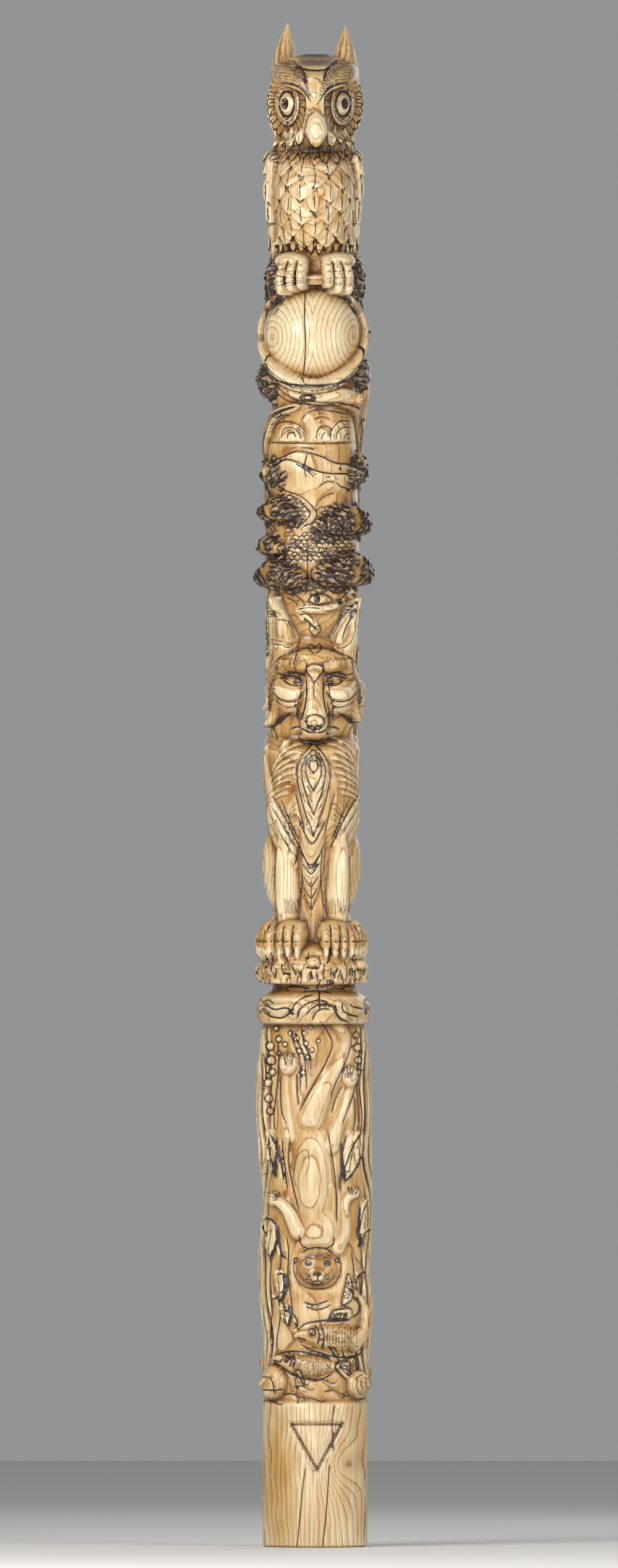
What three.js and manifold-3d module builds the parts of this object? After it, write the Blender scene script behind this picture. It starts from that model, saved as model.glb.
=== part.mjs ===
// Totem pole: one carved log. From the top down it shows an owl, the moon in a wreath of
// branches, a landscape with trees, a wolf, a ledge of roots, a diving otter and two fish.
// Millimetres, +Z up, the front faces -Y, and the origin is the centre of the underside.
import * as THREE from "three";
import { mergeVertices } from "three/addons/utils/BufferGeometryUtils.js";
import Module from "manifold-3d";

const wasm = await Module();
wasm.setup();

// ---------------------------------------------------------------- driving dimensions
const BASE_RADIUS = 149;
const EDGE_ROUND = 7;
const FOOT_RADIUS = BASE_RADIUS - EDGE_ROUND;
const SIDES = 32; // faces round the pole
const FRONT_CROWDING = 26; // degrees by which those faces crowd toward the front
const LIMB_BALLS = 26; // balls along a limb

// Rows of faces up the pole: from, to and the step between rows.
const LEVELS = [
  [420, 1000, 45], [1000, 1480, 60], [1480, 1700, 22], [1700, 2300, 50], [2300, 2600, 28],
  [2600, 3260, 41], [3260, 3560, 21], [3560, 3700, 24], [3700, 3960, 27], [3960, 4232, 28],
];

// The log under the carving: height, then its reach to the left, right, front and back.
const LOG = [
  [0, FOOT_RADIUS, FOOT_RADIUS, FOOT_RADIUS, FOOT_RADIUS],
  [EDGE_ROUND, BASE_RADIUS, BASE_RADIUS, BASE_RADIUS, BASE_RADIUS],
  [408, 149, 149, 150, 151],
  [420, 145, 147, 140, 154],
  [520, 141, 148, 132, 156],
  [600, 145, 158, 134, 158],
  [690, 154, 164, 130, 158],
  [770, 158, 153, 124, 158],
  [850, 158, 157, 128, 158],
  [930, 148, 160, 132, 158],
  [1010, 146, 161, 132, 158],
  [1100, 158, 160, 130, 158],
  [1220, 165, 159, 130, 158],
  [1340, 165, 156, 132, 158],
  [1440, 152, 148, 132, 158],
  [1484, 146, 138, 138, 158],
  [1492, 163, 152, 168, 163],
  [1530, 166, 155, 174, 164],
  [1562, 155, 145, 160, 162],
  [1580, 124, 120, 132, 150],
  [1598, 118, 112, 126, 148],
  [1604, 158, 150, 168, 160],
  [1650, 160, 152, 170, 160],
  [1694, 132, 122, 140, 157],
  [1720, 108, 92, 88, 157],
  [1850, 106, 90, 84, 157],
  [1990, 122, 106, 112, 156],
  [2060, 138, 122, 142, 155],
  [2180, 146, 127, 150, 154],
  [2262, 145, 126, 136, 154],
  [2304, 128, 108, 92, 156],
  [2350, 124, 108, 104, 157],
  [2430, 130, 120, 114, 158],
  [2490, 130, 118, 126, 158],
  [2548, 112, 98, 124, 158],
  [2590, 88, 78, 98, 158],
  [2640, 100, 96, 116, 158],
  [2720, 124, 114, 132, 158],
  [2860, 138, 124, 143, 158],
  [3130, 138, 117, 145, 158],
  [3236, 122, 112, 144, 156],
  [3290, 128, 122, 148, 156],
  [3306, 132, 126, 122, 156],
  [3322, 136, 130, 92, 157],
  [3360, 140, 134, 88, 157],
  [3560, 136, 130, 88, 160],
  [3594, 126, 119, 94, 161],
  [3612, 122, 114, 122, 162],
  [3660, 120, 112, 108, 163],
  [3720, 108, 100, 140, 165],
  [3800, 104, 98, 168, 165],
  [3862, 104, 98, 174, 164],
  [3925, 106, 102, 152, 162],
  [3968, 112, 108, 100, 154],
  [4010, 114, 110, 132, 148],
  [4070, 135, 136, 152, 148],
  [4140, 129, 131, 158, 140],
  [4180, 112, 116, 154, 126],
  [4208, 98, 106, 122, 112],
  [4232, 70, 76, 62, 84],
  [4242, 30, 36, 22, 44],
];

// Owl
const OWL_FACE_TURN = 54;
const OWL_EYE_Z = 4104;
const OWL_EYE_RING = 62;
const OWL_DISC_RADIUS = 92;
const OWL_DISC_REACH = 88;
const OWL_PETALS = 11; // feather cells round each eye
const OWL_CELL_GROOVE = 9;
const OWL_SLIM = 9; // how much slimmer the right wing stands than the left
const BREAST = { top: 3932, rows: 8, rowStep: 37, turn: 28, width: 84, length: 66 };

// Moon
const MOON = { x: -6, forward: 37, z: 3446, radius: 139 };
const WREATH = { start: 44, turn: 268, gap: 9, reach: 154, tuck: 40 }; // start and turn in degrees

// Wolf
const WOLF_SLIM = 20; // how much slimmer the wolf's right flank is than its left
const WOLF_PAW = { height: 42, toes: 4, toeTurn: 0.21 }; // toeTurn: degrees per millimetre of width
const WOLF_STANCE = [[-77, 108, 50], [60, 108, 50], [-130, 56, 36], [110, 56, 32]]; // x, reach, width

// Landscape
const SKY_EDGE = 3142; // the level edge the clouds rise from
const HILL_FOOT = 2990;
const HILL_SPREAD = 70; // degrees to each side of the front

// Water round the otter and fish
const WATER_TOP = 1478;
const WATER_BOTTOM = 440;
const FLUTES = { from: 62, spacing: 24, sway: 4, wave: 62, depth: 6 };

// ---------------------------------------------------------------- helpers
const radians = THREE.MathUtils.degToRad;

/** A point on the pole from its bearing (0 is the front, + is the right), radius and height. */
function polar(bearing, radius, z) {
  const angle = radians(bearing);
  return new THREE.Vector3(radius * Math.sin(angle), -radius * Math.cos(angle), z);
}

/** A point from its place across the front, its reach forward and its height. */
function front(x, forward, z) {
  return new THREE.Vector3(x, -forward, z);
}

/** A point at x on a round of the given radius, on its front half. */
function onRound(x, radius, z) {
  return front(x, Math.sqrt(Math.max(radius * radius - x * x, 0)), z);
}

/** Turns a closed three.js geometry into a solid with its faces pointing out. */
function solid(geometry) {
  const bare = geometry.clone();
  bare.deleteAttribute("normal");
  bare.deleteAttribute("uv");
  const merged = mergeVertices(bare, 1e-3);
  const corners = merged.index.array;
  const points = merged.attributes.position;
  const faces = [];
  let volume = 0;
  const [a, b, c] = [new THREE.Vector3(), new THREE.Vector3(), new THREE.Vector3()];
  for (let i = 0; i < corners.length; i += 3) {
    const [p, q, r] = [corners[i], corners[i + 1], corners[i + 2]];
    const flat = p === q || q === r || r === p;
    if (!flat) {
      faces.push([p, q, r]);
      b.fromBufferAttribute(points, q).cross(c.fromBufferAttribute(points, r));
      volume += a.fromBufferAttribute(points, p).dot(b);
    }
  }
  const outward = volume > 0 ? faces : faces.map(([p, q, r]) => [p, r, q]);
  const mesh = new wasm.Mesh({
    numProp: 3,
    vertProperties: new Float32Array(points.array),
    triVerts: new Uint32Array(outward.flat()),
  });
  return new wasm.Manifold(mesh);
}

/** Moves every vertex of a geometry with a function that changes the vector it is given. */
function reshape(geometry, move) {
  const points = geometry.attributes.position;
  const vertex = new THREE.Vector3();
  for (let i = 0; i < points.count; i += 1) {
    move(vertex.fromBufferAttribute(points, i));
    points.setXYZ(i, vertex.x, vertex.y, vertex.z);
  }
  return geometry;
}

/** A value from rows of [z, ...values], read at a height with straight lines between rows. */
function between(rows, z, column) {
  const last = rows.length - 1;
  if (z <= rows[0][0]) return rows[0][column];
  if (z >= rows[last][0]) return rows[last][column];
  const upper = rows.findIndex((row) => row[0] >= z);
  const [low, high] = [rows[upper - 1], rows[upper]];
  return THREE.MathUtils.mapLinear(z, low[0], high[0], low[column], high[column]);
}

/** The log's radius at a bearing and height, before any carving. */
function logRadius(bearing, z) {
  const across = Math.sin(radians(bearing));
  const along = Math.cos(radians(bearing));
  const side = between(LOG, z, across < 0 ? 1 : 2);
  const end = between(LOG, z, along > 0 ? 3 : 4);
  return Math.hypot(side * across, end * along);
}

// ---------------------------------------------------------------- forms in relief
// A form is a function of a bearing and a height. It gives the radius where a level ray from
// the pole's axis leaves the form, or 0 where the ray misses it.

/** A ball at a centre. */
function ball(centre, radius) {
  return (bearing, z) => {
    const nearest = polar(bearing, 1, 0).dot(centre);
    const missed = centre.x ** 2 + centre.y ** 2 - nearest ** 2 + (z - centre.z) ** 2;
    return missed > radius ** 2 ? 0 : nearest + Math.sqrt(radius ** 2 - missed);
  };
}

/** An egg on the pole: half-width around it, half-depth and half-height, with a lean. */
function lump(bearing, radius, z, [width, depth, height], lean = 0) {
  const unturn = new THREE.Matrix4().makeRotationZ(-radians(bearing));
  const unlean = new THREE.Matrix4().makeRotationY(-radians(lean));
  const shrink = new THREE.Matrix4().makeScale(1 / width, 1 / depth, 1 / height);
  const toBall = shrink.multiply(unlean).multiply(unturn);
  const centre = polar(bearing, radius, z);
  return (rayBearing, rayZ) => {
    const start = new THREE.Vector3(0, 0, rayZ).sub(centre).applyMatrix4(toBall);
    const out = polar(rayBearing, 1, 0).applyMatrix4(toBall);
    const [a, b, c] = [out.lengthSq(), start.dot(out), start.lengthSq() - 1];
    const inside = b * b - a * c;
    return inside < 0 ? 0 : (Math.sqrt(inside) - b) / a;
  };
}

/** An egg given by its centre across the front and its reach forward. */
function knob(x, forward, z, size, lean) {
  const bearing = THREE.MathUtils.radToDeg(Math.atan2(x, forward));
  return lump(bearing, Math.hypot(x, forward), z, size, lean);
}

/** A round limb along a smooth line, such as a branch, tail or leg, as a row of balls. */
function limb(points, radii) {
  const line = new THREE.CatmullRomCurve3(points);
  const widths = radii.map((radius, i) => [i / (radii.length - 1), radius]);
  const balls = [];
  for (let i = 0; i <= LIMB_BALLS; i += 1) {
    const t = i / LIMB_BALLS;
    balls.push(ball(line.getPoint(t), between(widths, t, 1)));
  }
  return (bearing, z) => Math.max(...balls.map((one) => one(bearing, z)));
}

/**
 * A feather or leaf lying on the pole: its point hangs at (bearing, z) and it runs length
 * upward, leaned by a few degrees. Its tip stands proud and its root sinks in.
 */
function leaf(bearing, z, radius, width, length, { proud = 8, lean = 0 } = {}) {
  const [sine, cosine] = [Math.sin(radians(lean)), Math.cos(radians(lean))];
  const halfWidths = [[0, 0], [0.3, width * 0.36], [0.62, width * 0.5], [1, width * 0.25]];
  return (rayBearing, rayZ) => {
    const turn = THREE.MathUtils.euclideanModulo(rayBearing - bearing + 180, 360) - 180;
    const [side, up] = [radians(turn) * radius, rayZ - z];
    const along = (up * cosine - side * sine) / length;
    const across = Math.abs(side * cosine + up * sine);
    const covered = along >= 0 && along <= 1 && across <= between(halfWidths, along, 1);
    return covered ? radius + proud * (1 - along) : 0;
  };
}

/** Both mirror twins of what a function makes for one side (-1 left, 1 right). */
function bothSides(make) {
  return [make(-1), make(1)].flat();
}

/** A place on one side of a figure whose right flank stands slimmer than its left. */
function slimmed(side, bearing, radius, z, slim) {
  return polar(side * bearing, side > 0 ? radius - slim : radius, z);
}

// ---------------------------------------------------------------- pieces that stand free
/** A tapering horn along a smooth line: half-widths from end to end. */
function horn(points, radii, { sides = 8, steps = 6 } = {}) {
  const line = new THREE.CatmullRomCurve3(points);
  const widths = radii.map((radius, i) => [i / (radii.length - 1), radius]);
  const tube = new THREE.CylinderGeometry(1, 1, 1, sides, steps);
  return solid(reshape(tube, (v) => {
    const t = THREE.MathUtils.clamp(v.y + 0.5, 0, 1);
    const centre = line.getPoint(t);
    const along = line.getTangent(t);
    const out = new THREE.Vector3(centre.x, centre.y, 0).normalize();
    const across = new THREE.Vector3().crossVectors(along, out).normalize();
    const rise = new THREE.Vector3().crossVectors(across, along).normalize();
    const radius = between(widths, t, 1);
    v.copy(centre.addScaledVector(across, v.x * radius).addScaledVector(rise, v.z * radius));
  }));
}

/**
 * A lathe whose axis points out of the pole; profile rows are [radius, reach from the axis].
 * carve may move each vertex first, with y as its reach.
 */
function boss(bearing, z, profile, sides, carve = () => {}) {
  const points = profile.map(([radius, reach]) => new THREE.Vector2(radius, reach));
  const lathe = new THREE.LatheGeometry(points, sides);
  const turn = new THREE.Matrix4().makeRotationZ(radians(bearing));
  return solid(reshape(lathe, (v) => {
    carve(v);
    v.set(v.x, -v.y, v.z).applyMatrix4(turn);
    v.z += z;
  }));
}

// ---------------------------------------------------------------- the owl
function owlHead() {
  const dish = [[0, OWL_DISC_REACH], [OWL_EYE_RING, OWL_DISC_REACH + 2], [OWL_DISC_RADIUS, 106],
    [OWL_DISC_RADIUS + 14, 190], [0, 190]];
  const discs = bothSides((side) => boss(side * OWL_FACE_TURN, OWL_EYE_Z, dish, 20));
  const eyes = bothSides((side) => owlEye(side * OWL_FACE_TURN));
  const tufts = bothSides((side) => horn([
    front(side * 84, 30, 4150), front(side * 88, -30, 4205), front(side * 84, -58, 4256),
    front(side > 0 ? 87 : -77, -76, side > 0 ? 4324 : 4331),
  ], [40, 36, 27, 2]));
  const brows = bothSides((side) => horn([
    front(side * 3, 142, 4128), front(side * 36, 128, 4160), front(side * 76, 90, 4178),
    front(side * 100, 10, 4190),
  ], [21, 26, 24, 16], { sides: 6, steps: 4 }));
  const beak = horn([front(4, 138, 4088), front(4, 152, 4038), front(4, 150, 3980)], [6, 33, 29, 4],
    { steps: 5 });
  const moustache = bothSides((side) => [14, 29, 46].map((bearing, i) => (
    leaf(side * bearing, 3974, 140 - i * 13, 36, 48, { proud: 12 })
  )));
  return { cut: discs, add: [...eyes, ...tufts, ...brows, beak], relief: moustache };
}

/** An eye in its ring, with feather cells that radiate from the ring to the disc's rim. */
function owlEye(bearing) {
  const cellRim = OWL_DISC_RADIUS - 6;
  const profile = [[0, 60], [cellRim, 60], [cellRim, 106], [OWL_EYE_RING + 2, 96],
    [OWL_EYE_RING - 4, 100], [44, 100], [34, 93], [24, 105], [9, 108], [8, 99], [0, 99]];
  return boss(bearing, OWL_EYE_Z, profile, OWL_PETALS * 2, (v) => {
    const step = Math.round((Math.atan2(v.x, v.z) * OWL_PETALS) / Math.PI);
    const groove = step % 2 === 0 && Math.hypot(v.x, v.z) > OWL_EYE_RING && v.y > OWL_DISC_REACH;
    v.y -= groove ? OWL_CELL_GROOVE : 0;
  });
}

function owlBody() {
  const breast = [];
  for (let row = 0; row < BREAST.rows; row += 1) {
    const z = BREAST.top - row * BREAST.rowStep;
    for (let i = -2; i <= 2; i += 1) {
      const bearing = (i + (row % 2) / 2) * BREAST.turn;
      const root = logRadius(bearing, z + 26) - 4;
      breast.push(leaf(bearing, z, root, BREAST.width, BREAST.length, { proud: 11 }));
    }
  }
  // Each folded wing is three limbs: places from the shoulder to the tip and half-widths.
  const feathers = [
    [[[66, 120, 3946], [71, 127, 3880], [76, 115, 3760], [88, 108, 3650], [108, 122, 3540],
      [130, 142, 3450]], [20, 19, 17, 15, 13, 8]],
    [[[102, 120, 3948], [103, 110, 3840], [112, 108, 3700], [136, 142, 3520]], [22, 32, 26, 8]],
    [[[140, 118, 3954], [140, 132, 3820], [146, 138, 3680], [158, 146, 3540]], [26, 36, 32, 12]],
  ];
  const wings = bothSides((side) => feathers.map(([line, widths]) => (
    limb(line.map(([bearing, radius, z]) => slimmed(side, bearing, radius, z, OWL_SLIM)), widths)
  )));
  const tail = lump(180, 118, 3600, [44, 48, 130]);
  return { relief: [...breast, ...wings, tail] };
}

function owlFeet() {
  const toes = [-97, -69, -40, 40, 67, 95].map((x) => {
    const heel = x * 0.84;
    return horn([onRound(heel, 104, 3674), onRound(heel, 150, 3648), onRound(x, 168, 3606),
      onRound(x, 168, 3562)], [15, 18, 17, 16, 6], { sides: 5, steps: 4 });
  });
  const perch = limb([polar(-46, 122, 3606), polar(0, 126, 3606), polar(46, 122, 3606)], [15, 15]);
  return { add: toes, relief: [perch] };
}

// ---------------------------------------------------------------- the moon and its branches
function moonAndWreath() {
  const moon = ball(front(MOON.x, MOON.forward, MOON.z), MOON.radius);
  const ring = [];
  for (let i = 0; i <= 12; i += 1) {
    const angle = radians(WREATH.start - WREATH.turn * (i / 12));
    const out = MOON.radius + WREATH.gap;
    const reach = WREATH.reach - WREATH.tuck * Math.max(Math.sin(angle), 0);
    ring.push(onRound(MOON.x + out * Math.cos(angle), reach, MOON.z + out * Math.sin(angle)));
  }
  const wreath = horn(ring, [10, 11, 16, 25, 16, 11, 10], { sides: 6, steps: 18 });
  const branch = limb([onRound(-60, 150, 3284), onRound(0, 152, 3272), onRound(70, 148, 3276),
    onRound(118, 142, 3262)], [16, 24, 22, 20]);
  const knot = knob(-20, 158, 3271, [26, 18, 14]);
  return { relief: [moon, branch, knot], add: [wreath] };
}

function trunksBehind() {
  // Each trunk of bark: the places it passes through and its half-width.
  const trunks = [
    [[[-96, 138, 3070], [-76, 142, 3150], [-56, 142, 3212], [-20, 144, 3246]], 14],
    [[[25, 142, 3256], [62, 132, 3236], [88, 116, 3180], [106, 130, 3110]], 14],
    [[[108, 144, 3290], [112, 124, 3120], [113, 112, 2860], [118, 114, 2600], [126, 126, 2330],
      [134, 132, 2180]], 24],
    [[[140, 142, 3440], [138, 140, 3160], [140, 141, 2860], [142, 142, 2560], [150, 142, 2220]], 26],
    [[[-140, 142, 3440], [-136, 140, 3100], [-138, 141, 2860], [-140, 142, 2540],
      [-150, 142, 2220]], 26],
    [[[-98, 130, 3090], [-110, 132, 2980], [-112, 128, 2760], [-112, 129, 2520],
      [-124, 140, 2260]], 23],
    [[[168, 140, 3460], [164, 140, 3100], [172, 142, 2600], [168, 142, 2160]], 28],
    [[[-168, 140, 3460], [-164, 140, 3060], [-170, 142, 2560], [-168, 142, 2160]], 28],
    [[[50, 128, 2716], [76, 120, 2672], [98, 108, 2600], [110, 112, 2500]], 15],
    [[[-62, 132, 2730], [-84, 125, 2684], [-100, 122, 2610], [-108, 128, 2520]], 17],
  ];
  const bark = trunks.map(([line, width]) => (
    limb(line.map((place) => polar(...place)), [width * 0.8, width, width, width * 0.7])
  ));
  return { relief: bark };
}

// ---------------------------------------------------------------- the landscape
function foliage() {
  // Clumps of leaves: bearing, height, half-width in degrees, half-height and outer radius.
  const clumps = [
    [72, 3060, 26, 54, 160], [-66, 3052, 24, 44, 166], [-52, 2946, 32, 42, 180],
    [50, 2912, 50, 50, 172], [-66, 2844, 28, 34, 176], [-54, 2762, 42, 46, 184],
    [50, 2774, 50, 56, 177], [78, 3592, 18, 90, 150], [112, 3452, 26, 42, 168],
    [104, 3334, 36, 58, 164], [-76, 3590, 26, 80, 150], [-114, 3438, 28, 36, 170],
    [-98, 3310, 42, 62, 170], [-140, 3190, 16, 44, 166],
  ];
  const lobes = clumps.map(([bearing, z, spread, height, radius]) => [-1, 0, 1].map((i) => {
    const drop = i === 0 ? 0.14 : -0.1;
    const size = [radians(spread) * radius * 0.46, 34, height * (i === 0 ? 0.88 : 0.82)];
    return lump(bearing + (i * spread) / 2, radius - 33 - Math.abs(i) * 4, z + drop * height, size);
  }));
  return { relief: lobes.flat() };
}

function landscape() {
  // Hills behind one another: the crest's places across the front, and how far each stands proud.
  const hills = [
    [[[-140, 3070], [-54, 3115], [-20, 3112], [60, 3082], [140, 3076]], 2],
    [[[-140, 3040], [-84, 3092], [8, 3060], [140, 3050]], 5],
  ];
  // Clouds rise from a level edge: place across the front, half-width and height.
  const clouds = [[20, 27, 40], [64, 27, 62], [-18, 31, 84], [-74, 32, 54]];
  const land = hills.map(([crest, proud]) => (bearing, z) => {
    const radius = logRadius(bearing, z);
    const top = between(crest, radius * Math.sin(radians(bearing)), 1);
    return Math.abs(bearing) < HILL_SPREAD && z > HILL_FOOT && z < top ? radius + proud : 0;
  });
  const sky = clouds.map(([x, width, height]) => {
    const puff = knob(x, 112, SKY_EDGE, [width, 38, height]);
    return (bearing, z) => (z < SKY_EDGE ? 0 : puff(bearing, z));
  });
  const eye = knob(4, 120, 2695, [27, 22, 15]);
  const curls = [
    limb([onRound(-34, 116, 2640), onRound(-50, 112, 2668), onRound(-10, 122, 2668),
      onRound(50, 118, 2672), onRound(96, 104, 2712)], [8, 11, 12, 10, 9]),
    limb([onRound(-92, 104, 2706), onRound(-40, 120, 2728), onRound(10, 126, 2722),
      onRound(56, 120, 2704)], [8, 12, 10, 7]),
    limb([onRound(-44, 116, 2664), onRound(-14, 118, 2640), onRound(6, 114, 2618)], [11, 6]),
  ];
  return { relief: [...land, ...sky, eye, ...curls] };
}

// ---------------------------------------------------------------- the wolf
function wolfHead() {
  const ears = bothSides((side) => horn([
    front(side * 66, 58, 2500), front(side * 78, 62, 2580), front(side * 104, 72, 2650),
    front(side * 129, side > 0 ? 80 : 96, 2701),
  ], [50, 47, 27, 2], { steps: 5 }));
  const hollows = bothSides((side) => horn([
    front(side * 86, 104, 2574), front(side * 96, 106, 2606), front(side * 110, 106, 2646),
    front(side * 122, 106, 2682),
  ], [10, 24, 17, 2], { sides: 6, steps: 4 }));
  const muzzle = horn([front(-3, 92, 2506), front(-3, 108, 2420), front(-3, 118, 2348),
    front(-3, 112, 2322)], [26, 31, 43, 34], { steps: 6, sides: 10 });
  const nose = knob(0, 150, 2346, [27, 18, 18]);
  const jaw = knob(-3, 98, 2306, [42, 42, 20]);
  const brows = bothSides((side) => lump(side * 31, 104, 2520, [64, 42, 36], side * 10));
  const cheeks = bothSides((side) => lump(side * 50, 82, 2425, [56, 42, 54]));
  const eyes = [knob(-52, 108, 2463, [34, 12, 12]), knob(46, 108, 2463, [30, 12, 12])];
  // Points of fur round the face: bearings, radii and heights from root to tip.
  const points = [
    [[-62, 104, 2440], [-70, 122, 2390], [-78, 151, 2330]],
    [[-88, 112, 2470], [-92, 130, 2420], [-96, 150, 2380]],
    [[62, 98, 2460], [72, 112, 2400], [80, 133, 2349]],
    [[96, 118, 2470], [102, 138, 2410], [106, 146, 2350]],
  ];
  const ruff = points.map((line) => limb(line.map((place) => polar(...place)), [30, 24, 6]));
  const face = [nose, jaw, ...brows, ...cheeks, ...eyes, ...ruff];
  return { add: [...ears, muzzle], trim: hollows, relief: face };
}

function wolfChest() {
  // Pointed ovals inside one another: half-width, bottom, height and how far each stands proud.
  const nested = [[44, 2018, 270, 4], [32, 2078, 192, 8], [20, 2146, 108, 12]];
  const ovals = nested.map(([half, z, length, proud]) => (
    leaf(-2, z, logRadius(0, z + 60) + proud, half * 2, length, { proud: 0 })
  ));
  // Locks of fur on one side: places from root to tip and half-widths.
  const locks = [
    [[[76, 124, 2262], [60, 126, 2150], [38, 120, 2010], [30, 110, 1936]], [26, 28, 24, 6]],
    [[[40, 128, 2286], [52, 130, 2220], [66, 128, 2150]], [10, 17, 6]],
    [[[30, 130, 2250], [42, 134, 2190], [54, 132, 2120]], [9, 16, 6]],
    [[[22, 134, 2150], [30, 134, 2100], [24, 128, 2046]], [8, 15, 6]],
    [[[84, 124, 2270], [88, 125, 2200], [84, 124, 2110]], [20, 24, 8]],
    [[[108, 128, 2290], [106, 130, 2190], [98, 128, 2080]], [20, 24, 8]],
    [[[130, 136, 2240], [128, 140, 2150], [118, 132, 2050]], [16, 22, 8]],
  ];
  const mane = bothSides((side) => locks.map(([line, widths]) => (
    limb(line.map(([bearing, radius, z]) => slimmed(side, bearing, radius, z, WOLF_SLIM)), widths)
  )));
  const panel = limb([front(-6, 112, 2040), front(-8, 96, 1930), front(-10, 72, 1812)], [38, 30, 8]);
  return { relief: [...ovals, ...mane, panel] };
}

function wolfLegs() {
  const shins = [
    limb([front(-74, 72, 2050), front(-80, 74, 1900), front(-74, 74, 1752)], [38, 36, 30, 32]),
    limb([front(66, 72, 2040), front(68, 72, 1900), front(60, 72, 1752)], [38, 40, 29, 32]),
  ];
  const haunches = bothSides((side) => (
    lump(side * 106, side > 0 ? 104 - WOLF_SLIM : 104, 1930, [66, 48, 126], side * -8)
  ));
  const hocks = bothSides((side) => (
    limb([slimmed(side, 122, 112, 1860, WOLF_SLIM), slimmed(side, 104, 102, 1790, WOLF_SLIM),
      slimmed(side, 80, 112, 1745, WOLF_SLIM)], [22, 20, 26])
  ));
  const rump = lump(180, 110, 1980, [90, 52, 250]);
  const paws = WOLF_STANCE.map(([x, forward, width]) => wolfPaw(x, forward, width));
  const toes = paws.flatMap((paw) => paw.toes);
  return { relief: [...shins, ...haunches, ...hocks, rump, ...toes, ...paws.map((paw) => paw.pad)] };
}

/** A paw with its toes, centred at x and reaching forward. */
function wolfPaw(x, forward, width) {
  const { height, toes, toeTurn } = WOLF_PAW;
  const bearing = THREE.MathUtils.radToDeg(Math.atan2(x, forward));
  const radius = Math.hypot(x, forward);
  const digits = [];
  for (let i = 0; i < toes; i += 1) {
    const around = bearing + (i - (toes - 1) / 2) * width * toeTurn;
    digits.push(limb([polar(around, radius, 1748), polar(around, radius + 18, 1722),
      polar(around, radius + 20, 1684)], [13, 14, 6]));
  }
  return { pad: lump(bearing, radius - 12, 1742, [width, 40, height]), toes: digits };
}

function wolfTail() {
  const tail = limb([polar(-150, 140, 1700), polar(-120, 142, 1650), polar(-84, 144, 1630),
    polar(-58, 148, 1652), polar(-46, 148, 1690)], [18, 24, 26, 20, 6]);
  return { relief: [tail] };
}

// ---------------------------------------------------------------- the roots
function roots() {
  const mushroom = (bearing, radius, z, size) => [
    lump(bearing, radius, z, [size, size, size * 0.95]),
    lump(bearing, radius - 6, z - size * 1.5, [size * 0.45, size * 0.6, size * 1.2]),
  ];
  // Rounded lobes of the collar: bearing, radius, height, half-width, half-height and lean.
  const lobes = [
    [-42, 158, 1528, 50, 17, 8], [-20, 170, 1524, 17, 24, 20], [26, 168, 1526, 18, 30, -26],
    [52, 150, 1530, 26, 20, 0], [-88, 148, 1530, 40, 28, 10], [92, 144, 1528, 40, 28, -10],
    [136, 148, 1530, 42, 26, 0], [-136, 148, 1530, 42, 26, 0], [180, 150, 1530, 44, 26, 0],
  ];
  const collar = lobes.map(([bearing, radius, z, width, height, lean]) => (
    lump(bearing, radius, z, [width, 18, height], lean)
  ));
  const whorl = lump(-80, 146, 1624, [28, 24, 24]);
  const mushrooms = [...mushroom(-2, 154, 1662, 20), ...mushroom(58, 152, 1656, 17)];
  return { relief: [...mushrooms, ...collar, whorl] };
}

// ---------------------------------------------------------------- the otter
function otter() {
  const tail = limb([onRound(26, 130, 1520), onRound(62, 128, 1486), onRound(76, 118, 1440),
    onRound(54, 114, 1362), onRound(16, 112, 1290), onRound(-8, 104, 1220)], [18, 28, 26, 31, 37, 44]);
  const body = knob(-4, 92, 1050, [62, 58, 205]);
  const chest = knob(8, 92, 900, [70, 58, 90]);
  const limbs = [
    limb([onRound(-76, 136, 1352), onRound(-76, 126, 1290), onRound(-66, 118, 1170)], [15, 25, 30]),
    limb([onRound(96, 134, 1330), onRound(74, 124, 1250), onRound(42, 118, 1140)], [16, 27, 28]),
    limb([onRound(-116, 146, 992), onRound(-80, 142, 962), onRound(-46, 132, 900)], [13, 18, 26]),
    limb([onRound(109, 146, 1008), onRound(84, 140, 980), onRound(80, 126, 900),
      onRound(60, 124, 850)], [14, 15, 22, 24]),
  ];
  const paws = [knob(-76, 124, 1374, [28, 22, 26]), knob(97, 110, 1338, [26, 22, 26]),
    knob(-118, 90, 990, [18, 16, 20]), knob(110, 98, 1008, [19, 16, 17])];
  const head = [knob(7, 98, 792, [62, 44, 49]), knob(7, 108, 775, [46, 40, 34]),
    knob(7, 138, 772, [25, 18, 20]), knob(-56, 96, 815, [13, 18, 14]), knob(64, 92, 817, [13, 18, 14])];
  return { relief: [tail, body, chest, ...limbs, ...paws, ...head] };
}

function water() {
  // Leaves of kelp: bearing, height of the point, radius, width, length and lean.
  const kelp = [
    [-52, 1052, 146, 46, 136, 4], [36, 1040, 148, 64, 148, -14], [-56, 820, 148, 60, 108, 0],
    [58, 850, 154, 56, 140, -8], [-40, 700, 146, 40, 88, 12], [-32, 630, 146, 40, 62, 20],
  ];
  const leaves = kelp.map(([bearing, z, radius, width, length, lean]) => (
    leaf(bearing, z, radius, width, length, { lean, proud: 6 })
  ));
  const flutes = (bearing, z) => {
    const wet = z > WATER_BOTTOM && z < WATER_TOP && Math.abs(bearing) > FLUTES.from;
    const sway = FLUTES.sway * Math.sin(z / FLUTES.wave);
    const phase = radians(((bearing + sway) * 360) / FLUTES.spacing);
    return wet ? logRadius(bearing, z) + FLUTES.depth * Math.cos(phase) : 0;
  };
  // Bubbles on the flanks: bearing, height and size.
  const places = [[-68, 1408, 13], [-70, 1318, 15], [54, 1450, 13], [51, 1396, 12]];
  const bubbles = places.map(([bearing, z, size]) => lump(bearing, 150, z, [size, 12, size]));
  return { relief: [...leaves, flutes, ...bubbles] };
}

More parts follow.
